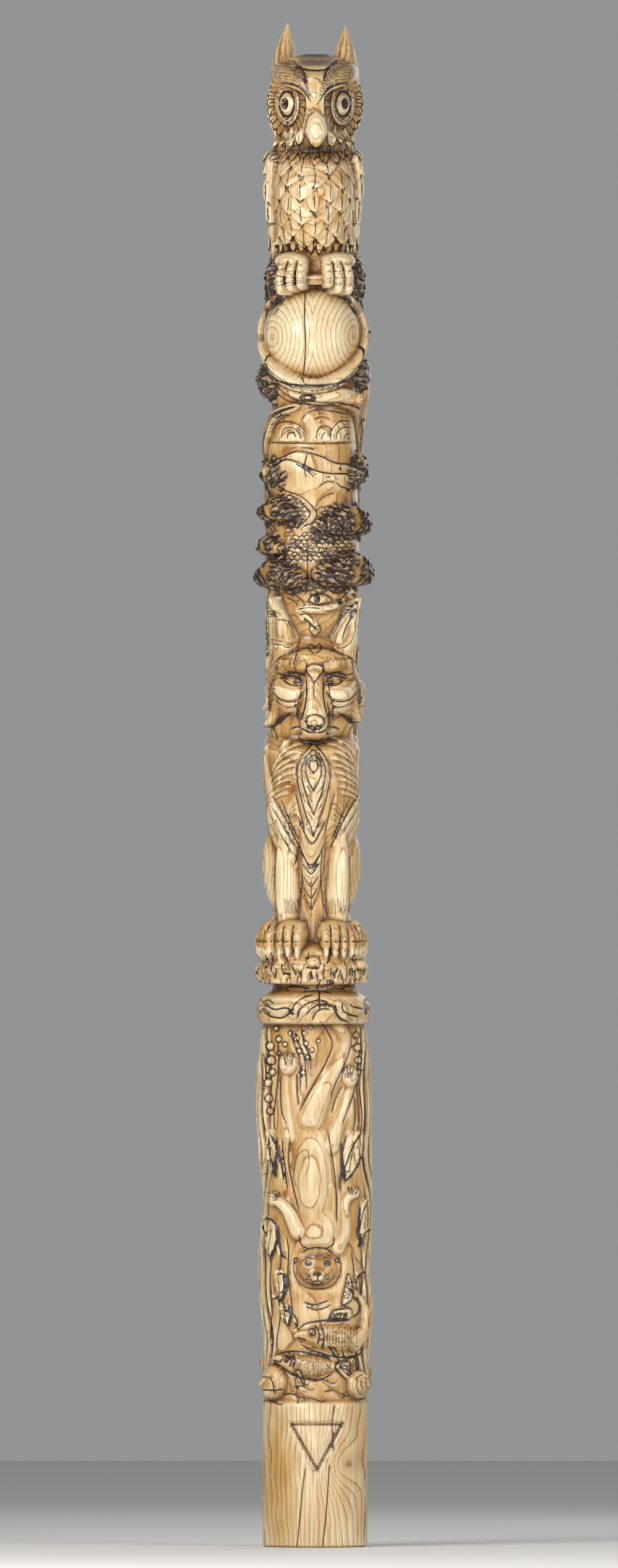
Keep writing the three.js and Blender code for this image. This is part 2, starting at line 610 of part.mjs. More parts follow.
// ---------------------------------------------------------------- the fish and the stones
function fish() {
  const big = limb([onRound(-56, 130, 600), onRound(-20, 118, 602), onRound(40, 114, 596),
    onRound(100, 112, 598), polar(64, 148, 622), polar(62, 150, 668), polar(52, 150, 694),
  ], [10, 36, 42, 30, 14, 16, 10]);
  const small = limb([onRound(-120, 134, 536), onRound(-92, 126, 528), onRound(-40, 118, 516),
    onRound(20, 120, 514), onRound(64, 138, 516)], [10, 28, 38, 32, 12]);
  // Fins: bearing, height of the point, width, length and lean.
  const fins = [
    [40, 690, 44, 84, 14], [30, 642, 62, 30, -60], [36, 462, 30, 58, 30], [36, 500, 30, 50, -30],
  ];
  const blades = fins.map(([bearing, z, width, length, lean]) => (
    leaf(bearing, z, 146, width, length, { lean, proud: 6 })
  ));
  const stones = [lump(-54, 136, 468, [50, 44, 50]), lump(56, 138, 460, [47, 42, 42]),
    lump(66, 142, 452, [32, 36, 28])];
  const knots = [lump(90, 142, 492, [26, 26, 26]), lump(-104, 142, 522, [26, 26, 26])];
  return { relief: [big, small, ...blades, ...stones, ...knots] };
}

/** A triangle on its point, cut into the plain foot of the pole. */
function footTriangle() {
  const corners = [[-70, 354], [79, 354], [6, 222]];
  const grooveRadius = 7;
  const bars = corners.map(([x, z], i) => {
    const [nextX, nextZ] = corners[(i + 1) % corners.length];
    const middle = onRound((x + nextX) / 2, BASE_RADIUS, (z + nextZ) / 2);
    return horn([onRound(x, BASE_RADIUS, z), middle, onRound(nextX, BASE_RADIUS, nextZ)],
      [grooveRadius, grooveRadius], { sides: 4, steps: 4 });
  });
  return { cut: bars };
}

// ---------------------------------------------------------------- the whole pole
const carvings = [
  owlHead(), owlBody(), owlFeet(), moonAndWreath(), trunksBehind(), foliage(), landscape(),
  wolfHead(), wolfChest(), wolfLegs(), wolfTail(), roots(), otter(), water(), fish(), footTriangle(),
];

/** The log with its relief: a lathe whose rows are pushed out to the outermost form. */
function makeLog() {
  const relief = carvings.flatMap((carving) => carving.relief ?? []);
  const rows = LEVELS.flatMap(([from, to, step]) => {
    const count = Math.round((to - from) / step);
    return Array.from({ length: count }, (_, i) => from + ((to - from) * i) / count);
  });
  const heights = [0, EDGE_ROUND, 408, ...rows, LEVELS[LEVELS.length - 1][1], 4242];
  const profile = heights.map((z) => new THREE.Vector2(1, z));
  profile.unshift(new THREE.Vector2(0, heights[0]));
  profile.push(new THREE.Vector2(0, heights[heights.length - 1]));
  const lathe = new THREE.LatheGeometry(profile, SIDES);
  return solid(reshape(lathe, (v) => {
    const onAxis = Math.hypot(v.x, v.z) < 0.5;
    const angle = Math.atan2(v.x, v.z);
    const bearing = THREE.MathUtils.radToDeg(angle) - FRONT_CROWDING * Math.sin(angle);
    const radius = Math.max(logRadius(bearing, v.y), ...relief.map((form) => form(bearing, v.y)));
    v.copy(polar(bearing, onAxis ? 0 : radius, v.y));
  }));
}

// Cuts go into the log first, then the pieces that stand free go on, then they are trimmed.
let pole = makeLog();
for (const { cut = [] } of carvings) {
  pole = cut.reduce((body, tool) => body.subtract(tool), pole);
}
for (const { add = [], trim = [] } of carvings) {
  pole = add.reduce((body, piece) => body.add(piece), pole);
  pole = trim.reduce((body, tool) => body.subtract(tool), pole);
}

const carved = pole.getMesh();
const geometry = new THREE.BufferGeometry();
geometry.setAttribute("position", new THREE.BufferAttribute(carved.vertProperties, 3));
geometry.setIndex(new THREE.BufferAttribute(carved.triVerts, 1));
geometry.computeVertexNormals();

const varnishedWood = new THREE.MeshStandardMaterial({ color: 0xb8894c, roughness: 0.42 });
const totemPole = new THREE.Mesh(geometry, varnishedWood);
totemPole.name = "totem_pole";

const part = new THREE.Group();
part.add(totemPole);

export default part;
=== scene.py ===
"""Totem pole: the carved, varnished look of one log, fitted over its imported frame.

The whole carving is one height map: the log's radius against bearing and height. Each figure
is a class that carves its own forms, grooves and feathers into that map. The map becomes one
closed mesh with colour attributes, and the two ear tufts join it. Sizes are in millimetres
until the mesh is made, +Z is up and the front faces -Y. Bearings are degrees from the front,
positive to the right.
"""

import logging
import math
from dataclasses import dataclass, field
from enum import Enum
from typing import Iterable, Sequence

import bpy
import numpy as np
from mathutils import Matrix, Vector


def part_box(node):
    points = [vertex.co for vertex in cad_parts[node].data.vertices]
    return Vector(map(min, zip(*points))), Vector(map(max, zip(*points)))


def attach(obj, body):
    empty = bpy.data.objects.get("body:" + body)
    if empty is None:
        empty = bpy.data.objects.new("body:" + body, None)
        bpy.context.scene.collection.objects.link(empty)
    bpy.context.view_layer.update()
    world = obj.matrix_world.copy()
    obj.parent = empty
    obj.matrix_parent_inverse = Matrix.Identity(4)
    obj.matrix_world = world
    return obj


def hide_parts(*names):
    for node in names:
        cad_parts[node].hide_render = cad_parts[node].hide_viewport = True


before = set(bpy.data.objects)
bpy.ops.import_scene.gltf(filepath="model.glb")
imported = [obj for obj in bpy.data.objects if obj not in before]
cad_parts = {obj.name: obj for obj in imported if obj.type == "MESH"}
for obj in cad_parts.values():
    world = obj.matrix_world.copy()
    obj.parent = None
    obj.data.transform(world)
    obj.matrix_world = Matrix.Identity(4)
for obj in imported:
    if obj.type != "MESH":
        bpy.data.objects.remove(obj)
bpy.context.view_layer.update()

LOGGER = logging.getLogger("totem_pole")

MM = 0.001
NODE = "totem_pole"
BODY = "root"

TOP = 4242.0
FOOT_TOP = 408.0
FRONT_CROWDING = 26.0  # degrees by which the columns of the map crowd to the front
MEAN_RADIUS = 150.0
FAR = 12.0  # the largest distance from a dark line that the map holds
LINE_SHARE = 0.9  # a dark line's half-width over its groove's
BACK_FROM = 92.0  # degrees from the front where the hidden side begins
BACK_SPAN = 40.0  # degrees over which it takes over
FRONT_LOSS = (0.1, 0.55)  # how freely triangles go at a dark line, and how much more beside it
BACK_LOSS = (0.7, 0.3)  # the same for the hidden side
HOLD = 0.03  # how strongly those shares hold triangles in place
WOLF_SLIM = 20.0  # how much slimmer the wolf's right flank is than its left

#: Height, then the log's reach to the left, right, front and back under the carving.
LOG_ROWS = np.array([(0, 142, 142, 142, 142), (7, 149, 149, 149, 149), (408, 149, 149, 150, 151),
    (420, 145, 147, 140, 154), (520, 141, 148, 132, 156), (600, 145, 158, 134, 158),
    (690, 154, 164, 130, 158), (770, 158, 153, 124, 158), (850, 158, 157, 128, 158),
    (930, 148, 160, 132, 158), (1010, 146, 161, 132, 158), (1100, 158, 160, 130, 158),
    (1220, 165, 159, 130, 158), (1340, 165, 156, 132, 158), (1440, 152, 148, 132, 158),
    (1484, 146, 138, 138, 158), (1492, 163, 152, 168, 163), (1530, 166, 155, 174, 164),
    (1562, 155, 145, 160, 162), (1580, 124, 120, 132, 150), (1598, 118, 112, 126, 148),
    (1604, 158, 150, 168, 160), (1650, 160, 152, 170, 160), (1694, 132, 122, 140, 157),
    (1720, 108, 92, 88, 157), (1850, 106, 90, 84, 157), (1990, 122, 106, 112, 156),
    (2060, 138, 122, 142, 155), (2180, 146, 127, 150, 154), (2262, 145, 126, 136, 154),
    (2304, 128, 108, 92, 156), (2350, 124, 108, 104, 157), (2430, 130, 120, 114, 158),
    (2490, 130, 118, 126, 158), (2548, 112, 98, 124, 158), (2590, 88, 78, 98, 158),
    (2640, 100, 96, 116, 158), (2720, 124, 114, 132, 158), (2860, 138, 124, 143, 158),
    (3130, 138, 117, 145, 158), (3236, 122, 112, 144, 156), (3290, 128, 122, 148, 156),
    (3306, 132, 126, 122, 156), (3322, 136, 130, 92, 157), (3360, 140, 134, 88, 157),
    (3560, 136, 130, 88, 160), (3594, 126, 119, 94, 161), (3612, 122, 114, 122, 162),
    (3660, 120, 112, 108, 163), (3720, 108, 100, 140, 165), (3800, 104, 98, 168, 165),
    (3862, 104, 98, 174, 164), (3925, 106, 102, 152, 162), (3968, 112, 108, 100, 154),
    (4010, 114, 110, 132, 148), (4070, 135, 136, 152, 148), (4140, 129, 131, 158, 140),
    (4180, 112, 116, 154, 126), (4208, 98, 106, 122, 112), (4232, 70, 76, 62, 84),
    (4242, 30, 36, 22, 44),], float)

Array = np.ndarray
Point = tuple[float, float]


def wrap(angle: Array | float) -> Array | float:
    """Turns an angle in degrees into its twin between -180 and 180."""
    return (angle + 180.0) % 360.0 - 180.0


def ease(share: Array | float) -> Array:
    """A smooth step from 0 to 1 over the same range."""
    held = np.clip(share, 0.0, 1.0)
    return held * held * (3.0 - 2.0 * held)


def curve(points: Sequence[Sequence[float]], step: float = 5.0) -> Array:
    """Runs a smooth line through points.

    Args:
        points: the places the line passes, each with the same number of values.
        step: the spacing of the result, in the units of the last two values.

    Returns:
        The places along the line, one row each.
    """
    knots = np.array(points, float)
    if len(knots) < 3:
        count = max(2, int(np.linalg.norm(knots[1] - knots[0]) / step) + 1)
        share = np.linspace(0.0, 1.0, count)[:, None]
        return knots[0] + (knots[1] - knots[0]) * share
    padded = np.vstack([2 * knots[0] - knots[1], knots, 2 * knots[-1] - knots[-2]])
    pieces = []
    for i in range(len(knots) - 1):
        a, b, c, d = padded[i:i + 4]
        count = max(2, int(np.linalg.norm(c - b) / step) + 1)
        t = np.linspace(0.0, 1.0, count, endpoint=False)[:, None]
        pieces.append(0.5 * (2 * b + (c - a) * t + (2 * a - 5 * b + 4 * c - d) * t ** 2
            + (3 * b - a - 3 * c + d) * t ** 3))
    return np.vstack([*pieces, knots[-1:]])


def arc(x: float, z: float, radius: float, start: float, end: float, squash: float = 1.0) -> list[Point]:
    """Points along an arc: centre, radius, first and last angle, height over width."""
    angles = np.radians(np.linspace(start, end, 9))
    return [(x + radius * math.cos(a), z + radius * squash * math.sin(a)) for a in angles]


def mirrored(points: Iterable[Sequence[float]], side: int) -> list[tuple]:
    """Points for the right side (1), or their twins on the left (-1)."""
    return [(side * x, *rest) for x, *rest in points]


def knot(bearing: float, z: float, reach: float, end: float = math.tau) -> list[Point]:
    """A growth ring of a knot as bearings and heights: its middle, half-height and last angle."""
    return [(bearing + reach / 2.6 * math.cos(a), z + reach * math.sin(a))
        for a in np.linspace(0, end, 12)]


def show(item: bpy.types.Object) -> None:
    """Puts an object in the scene."""
    bpy.context.scene.collection.objects.link(item)


class Log:
    """The log as a map of radius against bearing and height, with maps for its colours.

    Attributes:
        bearing: one bearing per column.
        z: one height per row.
        radius: the surface, rows by columns.
        cut: how dark the stain round a cut is, with the painted shade at feathers' stepped edges, 0 to
            1.
        line: signed distance to the nearest dark line, plain distance, and its half-width.
        tone: from -1 (brown stain) to 1 (pale wood).
        leafy: where the wood is stained like dark leaves, 0 to 1.
        grain: the distance that the wood's rings are counted from.
    """

    def __init__(self, columns: int, step: float) -> None:
        turn = np.linspace(-np.pi, np.pi, columns, endpoint=False)
        self.bearing = np.degrees(turn) - FRONT_CROWDING * np.sin(turn)
        self.z = np.concatenate([[0.0, 2.0, 7.0], np.arange(15.0, FOOT_TOP - 8.0, 8.0),
            np.arange(FOOT_TOP - 4.0, TOP, step), [TOP]])
        self.sine = np.sin(np.radians(self.bearing))
        self.cosine = np.cos(np.radians(self.bearing))
        sides = [np.interp(self.z, LOG_ROWS[:, 0], LOG_ROWS[:, i])[:, None] for i in range(1, 5)]
        across = np.where(self.sine < 0, sides[0], sides[1]) * self.sine
        along = np.where(self.cosine > 0, sides[2], sides[3]) * self.cosine
        self.radius = np.hypot(across, along)
        self.cut = np.zeros_like(self.radius)
        self.line = np.tile([FAR, FAR, 0.0], (*self.radius.shape, 1))
        self.tone = np.zeros_like(self.radius)
        self.leafy = np.zeros_like(self.radius)
        self.grain = np.full_like(self.radius, np.nan)
        self.random = np.random.default_rng(11)

    # ------------------------------------------------------------ places
    def across(self) -> Array:
        """The distance across the front of every cell, negative to the left."""
        return self.radius * self.sine

    def bearing_at(self, x: float, z: float) -> float:
        """The bearing where the front surface is at x, at one height."""
        row = min(int(np.searchsorted(self.z, z)), len(self.z) - 1)
        front = np.flatnonzero(np.abs(self.bearing) < 86)
        reach = np.maximum.accumulate(self.radius[row, front] * self.sine[front])
        return float(np.interp(x, reach, self.bearing[front]))

    def on_front(self, points: Sequence[Point], step: float = 5.0) -> Array:
        """A smooth line drawn across the front view, as bearings and heights."""
        line = curve(points, step)
        return np.array([(self.bearing_at(x, z), z) for x, z in line])

    def window(self, bearing: float, z: float, spread: float, reach: float):
        """Rows and columns within spread degrees and reach millimetres of a place."""
        rows = np.flatnonzero(np.abs(self.z - z) <= reach)
        columns = np.flatnonzero(np.abs(wrap(self.bearing - bearing)) <= spread)
        return np.ix_(rows, columns), self.z[rows][:, None], wrap(self.bearing[columns] - bearing)

    # ------------------------------------------------------------ forms
    def raise_to(self, cells, surface: Array, blend: float, tone: float) -> None:
        """Lifts cells to a surface where it stands higher, with a soft join of blend mm."""
        here = self.radius[cells]
        hit = surface > 0
        join = np.where(hit, np.maximum(blend - np.abs(surface - here), 0.0) ** 2, 0.0)
        lifted = np.where(hit, np.maximum(here, surface), here)
        if blend > 0:
            lifted = lifted + join / (4.0 * blend)
        changed = ease((lifted - here) / 3.0)
        self.tone[cells] += changed * (tone - self.tone[cells])
        self.cut[cells] *= 1.0 - changed
        self.forget(cells, changed > 0.3)
        self.radius[cells] = lifted

    def forget(self, cells, covered: Array) -> None:
        """Drops the dark lines of cells that a form has covered."""
        self.line[cells] = np.where(covered[..., None], (FAR, FAR, 0.0), self.line[cells])

    def draw(self, cells, signed: Array, half: Array | float) -> None:
        """Draws a dark line where it is nearer than what is there: signed distance, half-width."""
        here = self.line[cells]
        far = np.abs(signed)
        new = np.stack(np.broadcast_arrays(signed, far, half), -1)
        self.line[cells] = np.where((far < here[..., 1])[..., None], new, here)

    def lump(self, bearing: float, radius: float, z: float, size: Sequence[float], lean: float = 0.0,
            blend: float = 4.0, tone: float = 0.0) -> None:
        """Raises an egg: half-width round the pole, half-depth and half-height, leaned."""
        width, depth, height = size
        tall = math.hypot(height, width) if lean else height
        spread = math.degrees(math.asin(min(max(width, height if lean else 0) / radius, 1.0))) + 4
        cells, heights, turn = self.window(bearing, z, min(spread, 90.0), tall)
        out_across, out_along = np.sin(np.radians(turn)), np.cos(np.radians(turn))
        up = heights - z
        cosine, sine = math.cos(math.radians(lean)), math.sin(math.radians(lean))
        start = [-up * sine / width, np.full_like(up, -radius / depth), up * cosine / height]
        out = [out_across * cosine / width, out_along / depth, out_across * sine / height]
        a = sum(one ** 2 for one in out)
        b = sum(p * q for p, q in zip(start, out))
        c = sum(one ** 2 for one in start) - 1.0
        inside = b * b - a * c
        surface = np.where(inside >= 0, (np.sqrt(np.maximum(inside, 0.0)) - b) / a, 0.0)
        self.raise_to(cells, surface, blend, tone)

    def knob(self, x: float, forward: float, z: float, size: Sequence[float], lean: float = 0.0,
            blend: float = 4.0, tone: float = 0.0) -> None:
        """A lump given by its centre across the front and its reach forward."""
        bearing = math.degrees(math.atan2(x, forward))
        self.lump(bearing, math.hypot(x, forward), z, size, lean, blend, tone)

    def limb(self, points: Sequence[Sequence[float]], widths: Sequence[float], blend: float = 4.0,
            tone: float = 0.0) -> None:
        """Raises a round limb along a line of (bearing, radius, z)."""
        scale = math.radians(1.0) * MEAN_RADIUS
        line = curve([(b * scale, r, z) for b, r, z in points], 5.0) / (scale, 1.0, 1.0)
        sizes = np.interp(np.linspace(0, 1, len(line)), np.linspace(0, 1, len(widths)), widths)
        surface = np.zeros_like(self.radius)
        for (bearing, radius, z), size in zip(line, sizes):
            spread = math.degrees(math.asin(min(size / radius, 1.0)))
            cells, heights, turn = self.window(bearing, z, spread, size)
            side = radius * np.sin(np.radians(turn))
            missed = side ** 2 + (heights - z) ** 2
            reach = radius * np.cos(np.radians(turn)) + np.sqrt(np.maximum(size ** 2 - missed, 0))
            block = surface[cells]
            surface[cells] = np.where(missed < size ** 2, np.maximum(block, reach), block)
        rows = np.flatnonzero(surface.max(1) > 0)
        if len(rows):
            cells = np.ix_(rows, np.arange(len(self.bearing)))
            self.raise_to(cells, surface[cells], blend, tone)

    def front_limb(self, points: Sequence[Sequence[float]], widths: Sequence[float], blend: float = 4.0,
            tone: float = 0.0) -> None:
        """A limb given by (x, radius, z) for places on the front half."""
        line = [(math.degrees(math.asin(max(-1.0, min(1.0, x / r)))), r, z) for x, r, z in points]
        self.limb(line, widths, blend, tone)

    # ------------------------------------------------------------ lines
    def near(self, path: Array, reach: float):
        """Distances to a path.

        Args:
            path: bearings and heights along it.
            reach: how far from it to look, in millimetres.

        Returns:
            The cells, their signed distances in millimetres and their shares along the path.
        """
        middle = path[0, 0]
        scale = math.radians(1.0) * MEAN_RADIUS
        side = wrap(path[:, 0] - middle) * scale
        up = path[:, 1]
        rows = np.flatnonzero((self.z > up.min() - reach) & (self.z < up.max() + reach))
        turn = wrap(self.bearing - middle) * scale
        columns = np.flatnonzero((turn > side.min() - reach) & (turn < side.max() + reach))
        heights, places = self.z[rows], turn[columns]
        far = np.full((len(rows), len(columns)), 1e9)
        share, sign = np.zeros_like(far), np.ones_like(far)
        last = len(path) - 1
        for i in range(last):
            low, high = sorted((up[i], up[i + 1]))
            first, final = np.searchsorted(heights, (low - reach, high + reach))
            left, right = sorted((side[i], side[i + 1]))
            near = np.flatnonzero((places > left - reach) & (places < right + reach))
            if final <= first or not len(near):
                continue
            ds, dz = side[i + 1] - side[i], up[i + 1] - up[i]
            rise = heights[first:final, None] - up[i]
            run = places[near] - side[i]
            t = np.clip((run * ds + rise * dz) / max(ds * ds + dz * dz, 1e-9), 0.0, 1.0)
            gap = np.hypot(run - t * ds, rise - t * dz)
            block = np.ix_(np.arange(first, final), near)
            closer = gap < far[block]
            far[block] = np.where(closer, gap, far[block])
            share[block] = np.where(closer, (i + t) / last, share[block])
            turned = np.where(run * dz > rise * ds, 1.0, -1.0)
            sign[block] = np.where(closer, turned, sign[block])
        return np.ix_(rows, columns), far * sign, share

    def groove(self, path: Array, width: float = 3.0, depth: float = 3.0, dark: float = 0.9,
            taper: float = 0.15) -> None:
        """Cuts a V-shaped line along a path: half-width, depth, darkness and tapered share."""
        wide = max(width * 1.3, 4.2)
        cells, signed, share = self.near(path, wide + 4.0)
        far = np.abs(signed)
        ends = ease(np.minimum(share, 1.0 - share) / taper) if taper > 0 else 1.0
        wedge = np.clip(1.0 - far / wide, 0.0, 1.0) * ends
        self.radius[cells] -= depth * wedge
        self.cut[cells] = np.maximum(self.cut[cells], 0.5 * dark * wedge)
        near = np.where(far < wide + 4.0, signed, FAR)
        self.draw(cells, near, LINE_SHARE * width * dark * ends * np.ones_like(far))

    def stroke(self, points: Sequence[Point], width: float = 3.0, depth: float = 3.0, dark: float = 0.9,
            taper: float = 0.15, step: float = 5.0) -> None:
        """Cuts a groove through points (x, z) of the front view."""
        self.groove(self.on_front(points, step), width, depth, dark, taper)

    def strokes(self, lines: Iterable, *cut: float, taper: float = 0.15, step: float = 5.0) -> None:
        """Cuts several lines of the front view with one half-width, depth and darkness."""
        for line in lines:
            self.stroke(line, *cut, taper=taper, step=step)

    def ring(self, x: float, z: float, reach: float, *cut: float, squash: float = 1.0,
            step: float = 5.0) -> None:
        """Cuts a closed ring on the front: its middle, radius and the groove's three values."""
        self.stroke(arc(x, z, reach, 0, 360, squash), *cut, taper=0, step=step)

    def score(self, points: Sequence[Point], width: float = 3.0, depth: float = 3.0, dark: float = 0.9,
            taper: float = 0.15, step: float = 5.0) -> None:
        """Cuts a groove through points (bearing, z) anywhere round the log."""
        self.groove(curve(points, step), width, depth, dark, taper)

    def ridge(self, path: Array, width: float, height: float, tone: float = 0.0,
            taper: float = 0.2) -> None:
        """Adds a rounded bead along a path."""
        cells, signed, share = self.near(path, width)
        far = np.abs(signed)
        ends = ease(np.minimum(share, 1.0 - share) / taper) if taper > 0 else 1.0
        bead = np.sqrt(np.clip(1.0 - (far / width) ** 2, 0.0, 1.0)) * ends
        self.radius[cells] += height * bead
        self.tone[cells] += ease(bead * 2.0) * (tone - self.tone[cells])

    def panel(self, outline: Sequence[Point], height: float, edge: float = 4.0,
            tone: float | None = None, leafy: float | None = None) -> None:
        """Raises or sinks the inside of a closed outline drawn on the front view.

        Args:
            outline: its corners across the front and up.
            height: how far the inside moves out, negative to sink it.
            edge: the width of the sloping border, in millimetres.
            tone: the colour of the inside, or None to keep it.
            leafy: the leaf stain of the inside, or None to keep it.
        """
        ring = self.on_front([*outline, outline[0]], 6.0)
        cells, signed, _ = self.near(ring, max(edge, 6.0) + 400.0)
        far = np.abs(signed)
        rows, columns = cells[0][:, 0], cells[1][0]
        scale = math.radians(1.0) * MEAN_RADIUS
        place = wrap(self.bearing[columns] - ring[0, 0])[None, :] * scale
        height_here = self.z[rows][:, None]
        side, up = wrap(ring[:, 0] - ring[0, 0]) * scale, ring[:, 1]
        inside = np.zeros((len(rows), len(columns)), bool)
        for i in range(len(ring) - 1):
            spans = (up[i] > height_here) != (up[i + 1] > height_here)
            slope = (height_here - up[i]) / ((up[i + 1] - up[i]) or 1e-9)
            inside ^= spans & (place < side[i] + slope * (side[i + 1] - side[i]))
        amount = np.where(inside, ease(far / edge), 0.0)
        self.radius[cells] += height * amount
        if tone is not None:
            self.tone[cells] += amount * (tone - self.tone[cells])
        if leafy is not None:
            self.leafy[cells] = np.maximum(self.leafy[cells], amount * leafy)

    def feather(self, bearing: float, z: float, width: float, length: float, floor: Array,
            proud: float = 7.0, lean: float = 0.0, tone: float = 0.0, leafy: float | None = None,
            quill: float = 1.2, ink: float = 2.3) -> None:
        """Lays a feather or leaf on the log, its point hanging at a place.

        Args:
            bearing, z: where its point hangs.
            width, length: its size in millimetres.
            floor: the surface it lies on.
            proud: how far its point stands off that surface.
            lean: degrees that it leans from upright.
            tone: its colour.
            leafy: its leaf stain, or None to keep what is there.
            quill: the depth of its middle line.
            ink: the half-width of its dark outline.
        """
        reach = length * 1.1 + width
        cells, heights, turn = self.window(bearing, z, math.degrees(reach / MEAN_RADIUS), reach)
        side, up = np.radians(turn) * MEAN_RADIUS, heights - z
        cosine, sine = math.cos(math.radians(lean)), math.sin(math.radians(lean))
        along = (up * cosine - side * sine) / length
        across = side * cosine + up * sine
        half = np.interp(along, (0, 0.12, 0.3, 0.55, 1), (0, 0.15, 0.37, 0.5, 0.42)) * width
        border = half - np.abs(across)
        border = np.where(along < 0, np.minimum(border, along * length), border) * 0.8
        inside = (along >= 0) & (along <= 1) & (border > 0)
        lift = proud * (1 - np.clip(along, 0, 1)) ** 0.7 * ease(border / 4.0)
        dome = 0.05 * width * (1 - (across / np.maximum(half, 1e-6)) ** 2)
        line = quill * np.clip(1 - np.abs(across) / 2.0, 0, 1) * (along < 0.8)
        surface = floor[cells] + lift + dome - line
        on = inside & (surface > self.radius[cells])
        # rim darkens the feather's border where it stands proud of the surface below: painted shade at
        # the step.
        rim = 0.4 * np.clip(1 - border / 4.0, 0, 1) * ease((1 - along) * 3)
        self.radius[cells] = np.where(on, surface, self.radius[cells])
        self.cut[cells] = np.where(on, np.maximum(rim, line * 0.3), self.cut[cells])
        self.forget(cells, on)
        edge = border - ink * 0.5
        shown = (along < 0.93) & (along > -0.2) & (np.abs(edge) < 6) & (on | (border <= 0))
        self.draw(cells, np.where(shown, edge, FAR), ink * ease((1 - along) * 3))
        if quill > 0:
            shown = on & (np.abs(across) < 5)
            fade = ease((0.8 - along) / 0.2) * ease((along - 0.1) / 0.15)
            self.draw(cells, np.where(shown, across, FAR), 0.6 * ink * fade)
        self.tone[cells] = np.where(on, tone, self.tone[cells])
        if leafy is not None:
            self.leafy[cells] = np.where(on, leafy, self.leafy[cells])

    def tint(self, x: float, z: float, width: float, height: float, amount: float) -> None:
        """Shifts the tone of a soft oval patch of the front: its middle, half-sizes and shift."""
        off = np.hypot((self.across() - x) / width, (self.z[:, None] - z) / height)
        self.tone += amount * ease(1.4 - off) * (self.cosine > -0.1)

    def noise(self, across: float, up: float, seed: int) -> Array:
        """Smooth noise from -1 to 1 over the whole map, in patches of about that size."""
        random = np.random.default_rng(seed)
        columns = max(3, round(math.tau * MEAN_RADIUS / across))
        rows = int(TOP / up) + 3
        grid = random.uniform(-1, 1, (rows, columns))
        x = (self.bearing + 180.0) / 360.0 * columns
        y = self.z / up
        i, j = np.floor(y).astype(int), np.floor(x).astype(int)
        v, u = ease(y - i)[:, None], ease(x - j)[None, :]
        low = grid[i][:, j % columns] * (1 - u) + grid[i][:, (j + 1) % columns] * u
        high = grid[i + 1][:, j % columns] * (1 - u) + grid[i + 1][:, (j + 1) % columns] * u
        return low * (1 - v) + high * v

    def blurred(self, values: Array, rows: int, columns: int) -> Array:
        """A soft copy of a map, averaged over a span of rows and columns."""
        result = values
        for _ in range(2):
            tall = np.pad(result, ((rows, rows), (0, 0)), mode="edge")
            total = np.cumsum(np.vstack([np.zeros_like(tall[:1]), tall]), axis=0)
            result = (total[2 * rows + 1:] - total[:-2 * rows - 1]) / (2 * rows + 1)
            wide = np.pad(result, ((0, 0), (columns, columns)), mode="wrap")
            total = np.cumsum(np.hstack([np.zeros_like(wide[:, :1]), wide]), axis=1)
            result = (total[:, 2 * columns + 1:] - total[:, :-2 * columns - 1]) / (2 * columns + 1)
        return result


# ---------------------------------------------------------------- the figures
@dataclass
class Carving:
    """One figure or band of the pole."""

    title: str = "carving"

    def carve(self, log: Log) -> None:
        """Carves the figure into the log."""
        raise NotImplementedError

    def run(self, log: Log) -> None:
        """Carves the figure and reports how much of the surface it moved."""
        before = log.radius.copy()
        self.carve(log)
        moved = np.abs(log.radius - before) > 0.2
        LOGGER.info("%s: %.1f%% of the map carved", self.title, 100.0 * moved.mean())


@dataclass
class Bark(Carving):
    """Trunks and bent branches that run down the flanks and back behind the figures."""

    title: str = "bark"
    #: Each trunk: the places (bearing, radius, z) it passes and its half-width.
    trunks: tuple = ((((-96, 138, 3070), (-76, 142, 3150), (-56, 142, 3212), (-20, 144, 3246)), 14),
        (((25, 142, 3256), (62, 132, 3236), (88, 116, 3180), (106, 130, 3110)), 14),
        (((108, 144, 3290), (112, 124, 3120), (113, 112, 2860), (118, 114, 2600), (126, 126, 2330),
        (134, 132, 2180)), 24), (((140, 142, 3440), (138, 140, 3160), (140, 141, 2860), (142, 142, 2560),
        (150, 142, 2220)), 26), (((-140, 142, 3440), (-136, 140, 3100), (-138, 141, 2860),
        (-140, 142, 2540), (-150, 142, 2220)), 26), (((-98, 130, 3090), (-110, 132, 2980),
        (-112, 128, 2760), (-112, 129, 2520), (-124, 140, 2260)), 23),
        (((168, 140, 3460), (164, 140, 3100), (172, 142, 2600), (168, 142, 2160)), 28),
        (((-168, 140, 3460), (-164, 140, 3060), (-170, 142, 2560), (-168, 142, 2160)), 28),
        (((50, 128, 2716), (76, 120, 2672), (98, 108, 2600), (110, 112, 2500)), 15),
        (((-62, 132, 2730), (-84, 125, 2684), (-100, 122, 2610), (-108, 128, 2520)), 17),)

    def carve(self, log: Log) -> None:
        for line, width in self.trunks:
            log.limb(line, (width * 0.8, width, width, width * 0.7), tone=-0.15)
        for line, width in self.trunks:
            middle = curve([(b, z) for b, _, z in line], 12.0)
            turn = math.degrees(width / MEAN_RADIUS)
            for offset in np.arange(-0.75, 0.8, 0.36):
                wander = 0.16 * np.sin(middle[:, 1] / 37.0 + offset * 9.0)
                path = middle.copy()
                path[:, 0] += turn * (offset + wander)
                log.groove(path, 2.0, 3.4, 0.75, taper=0.05)


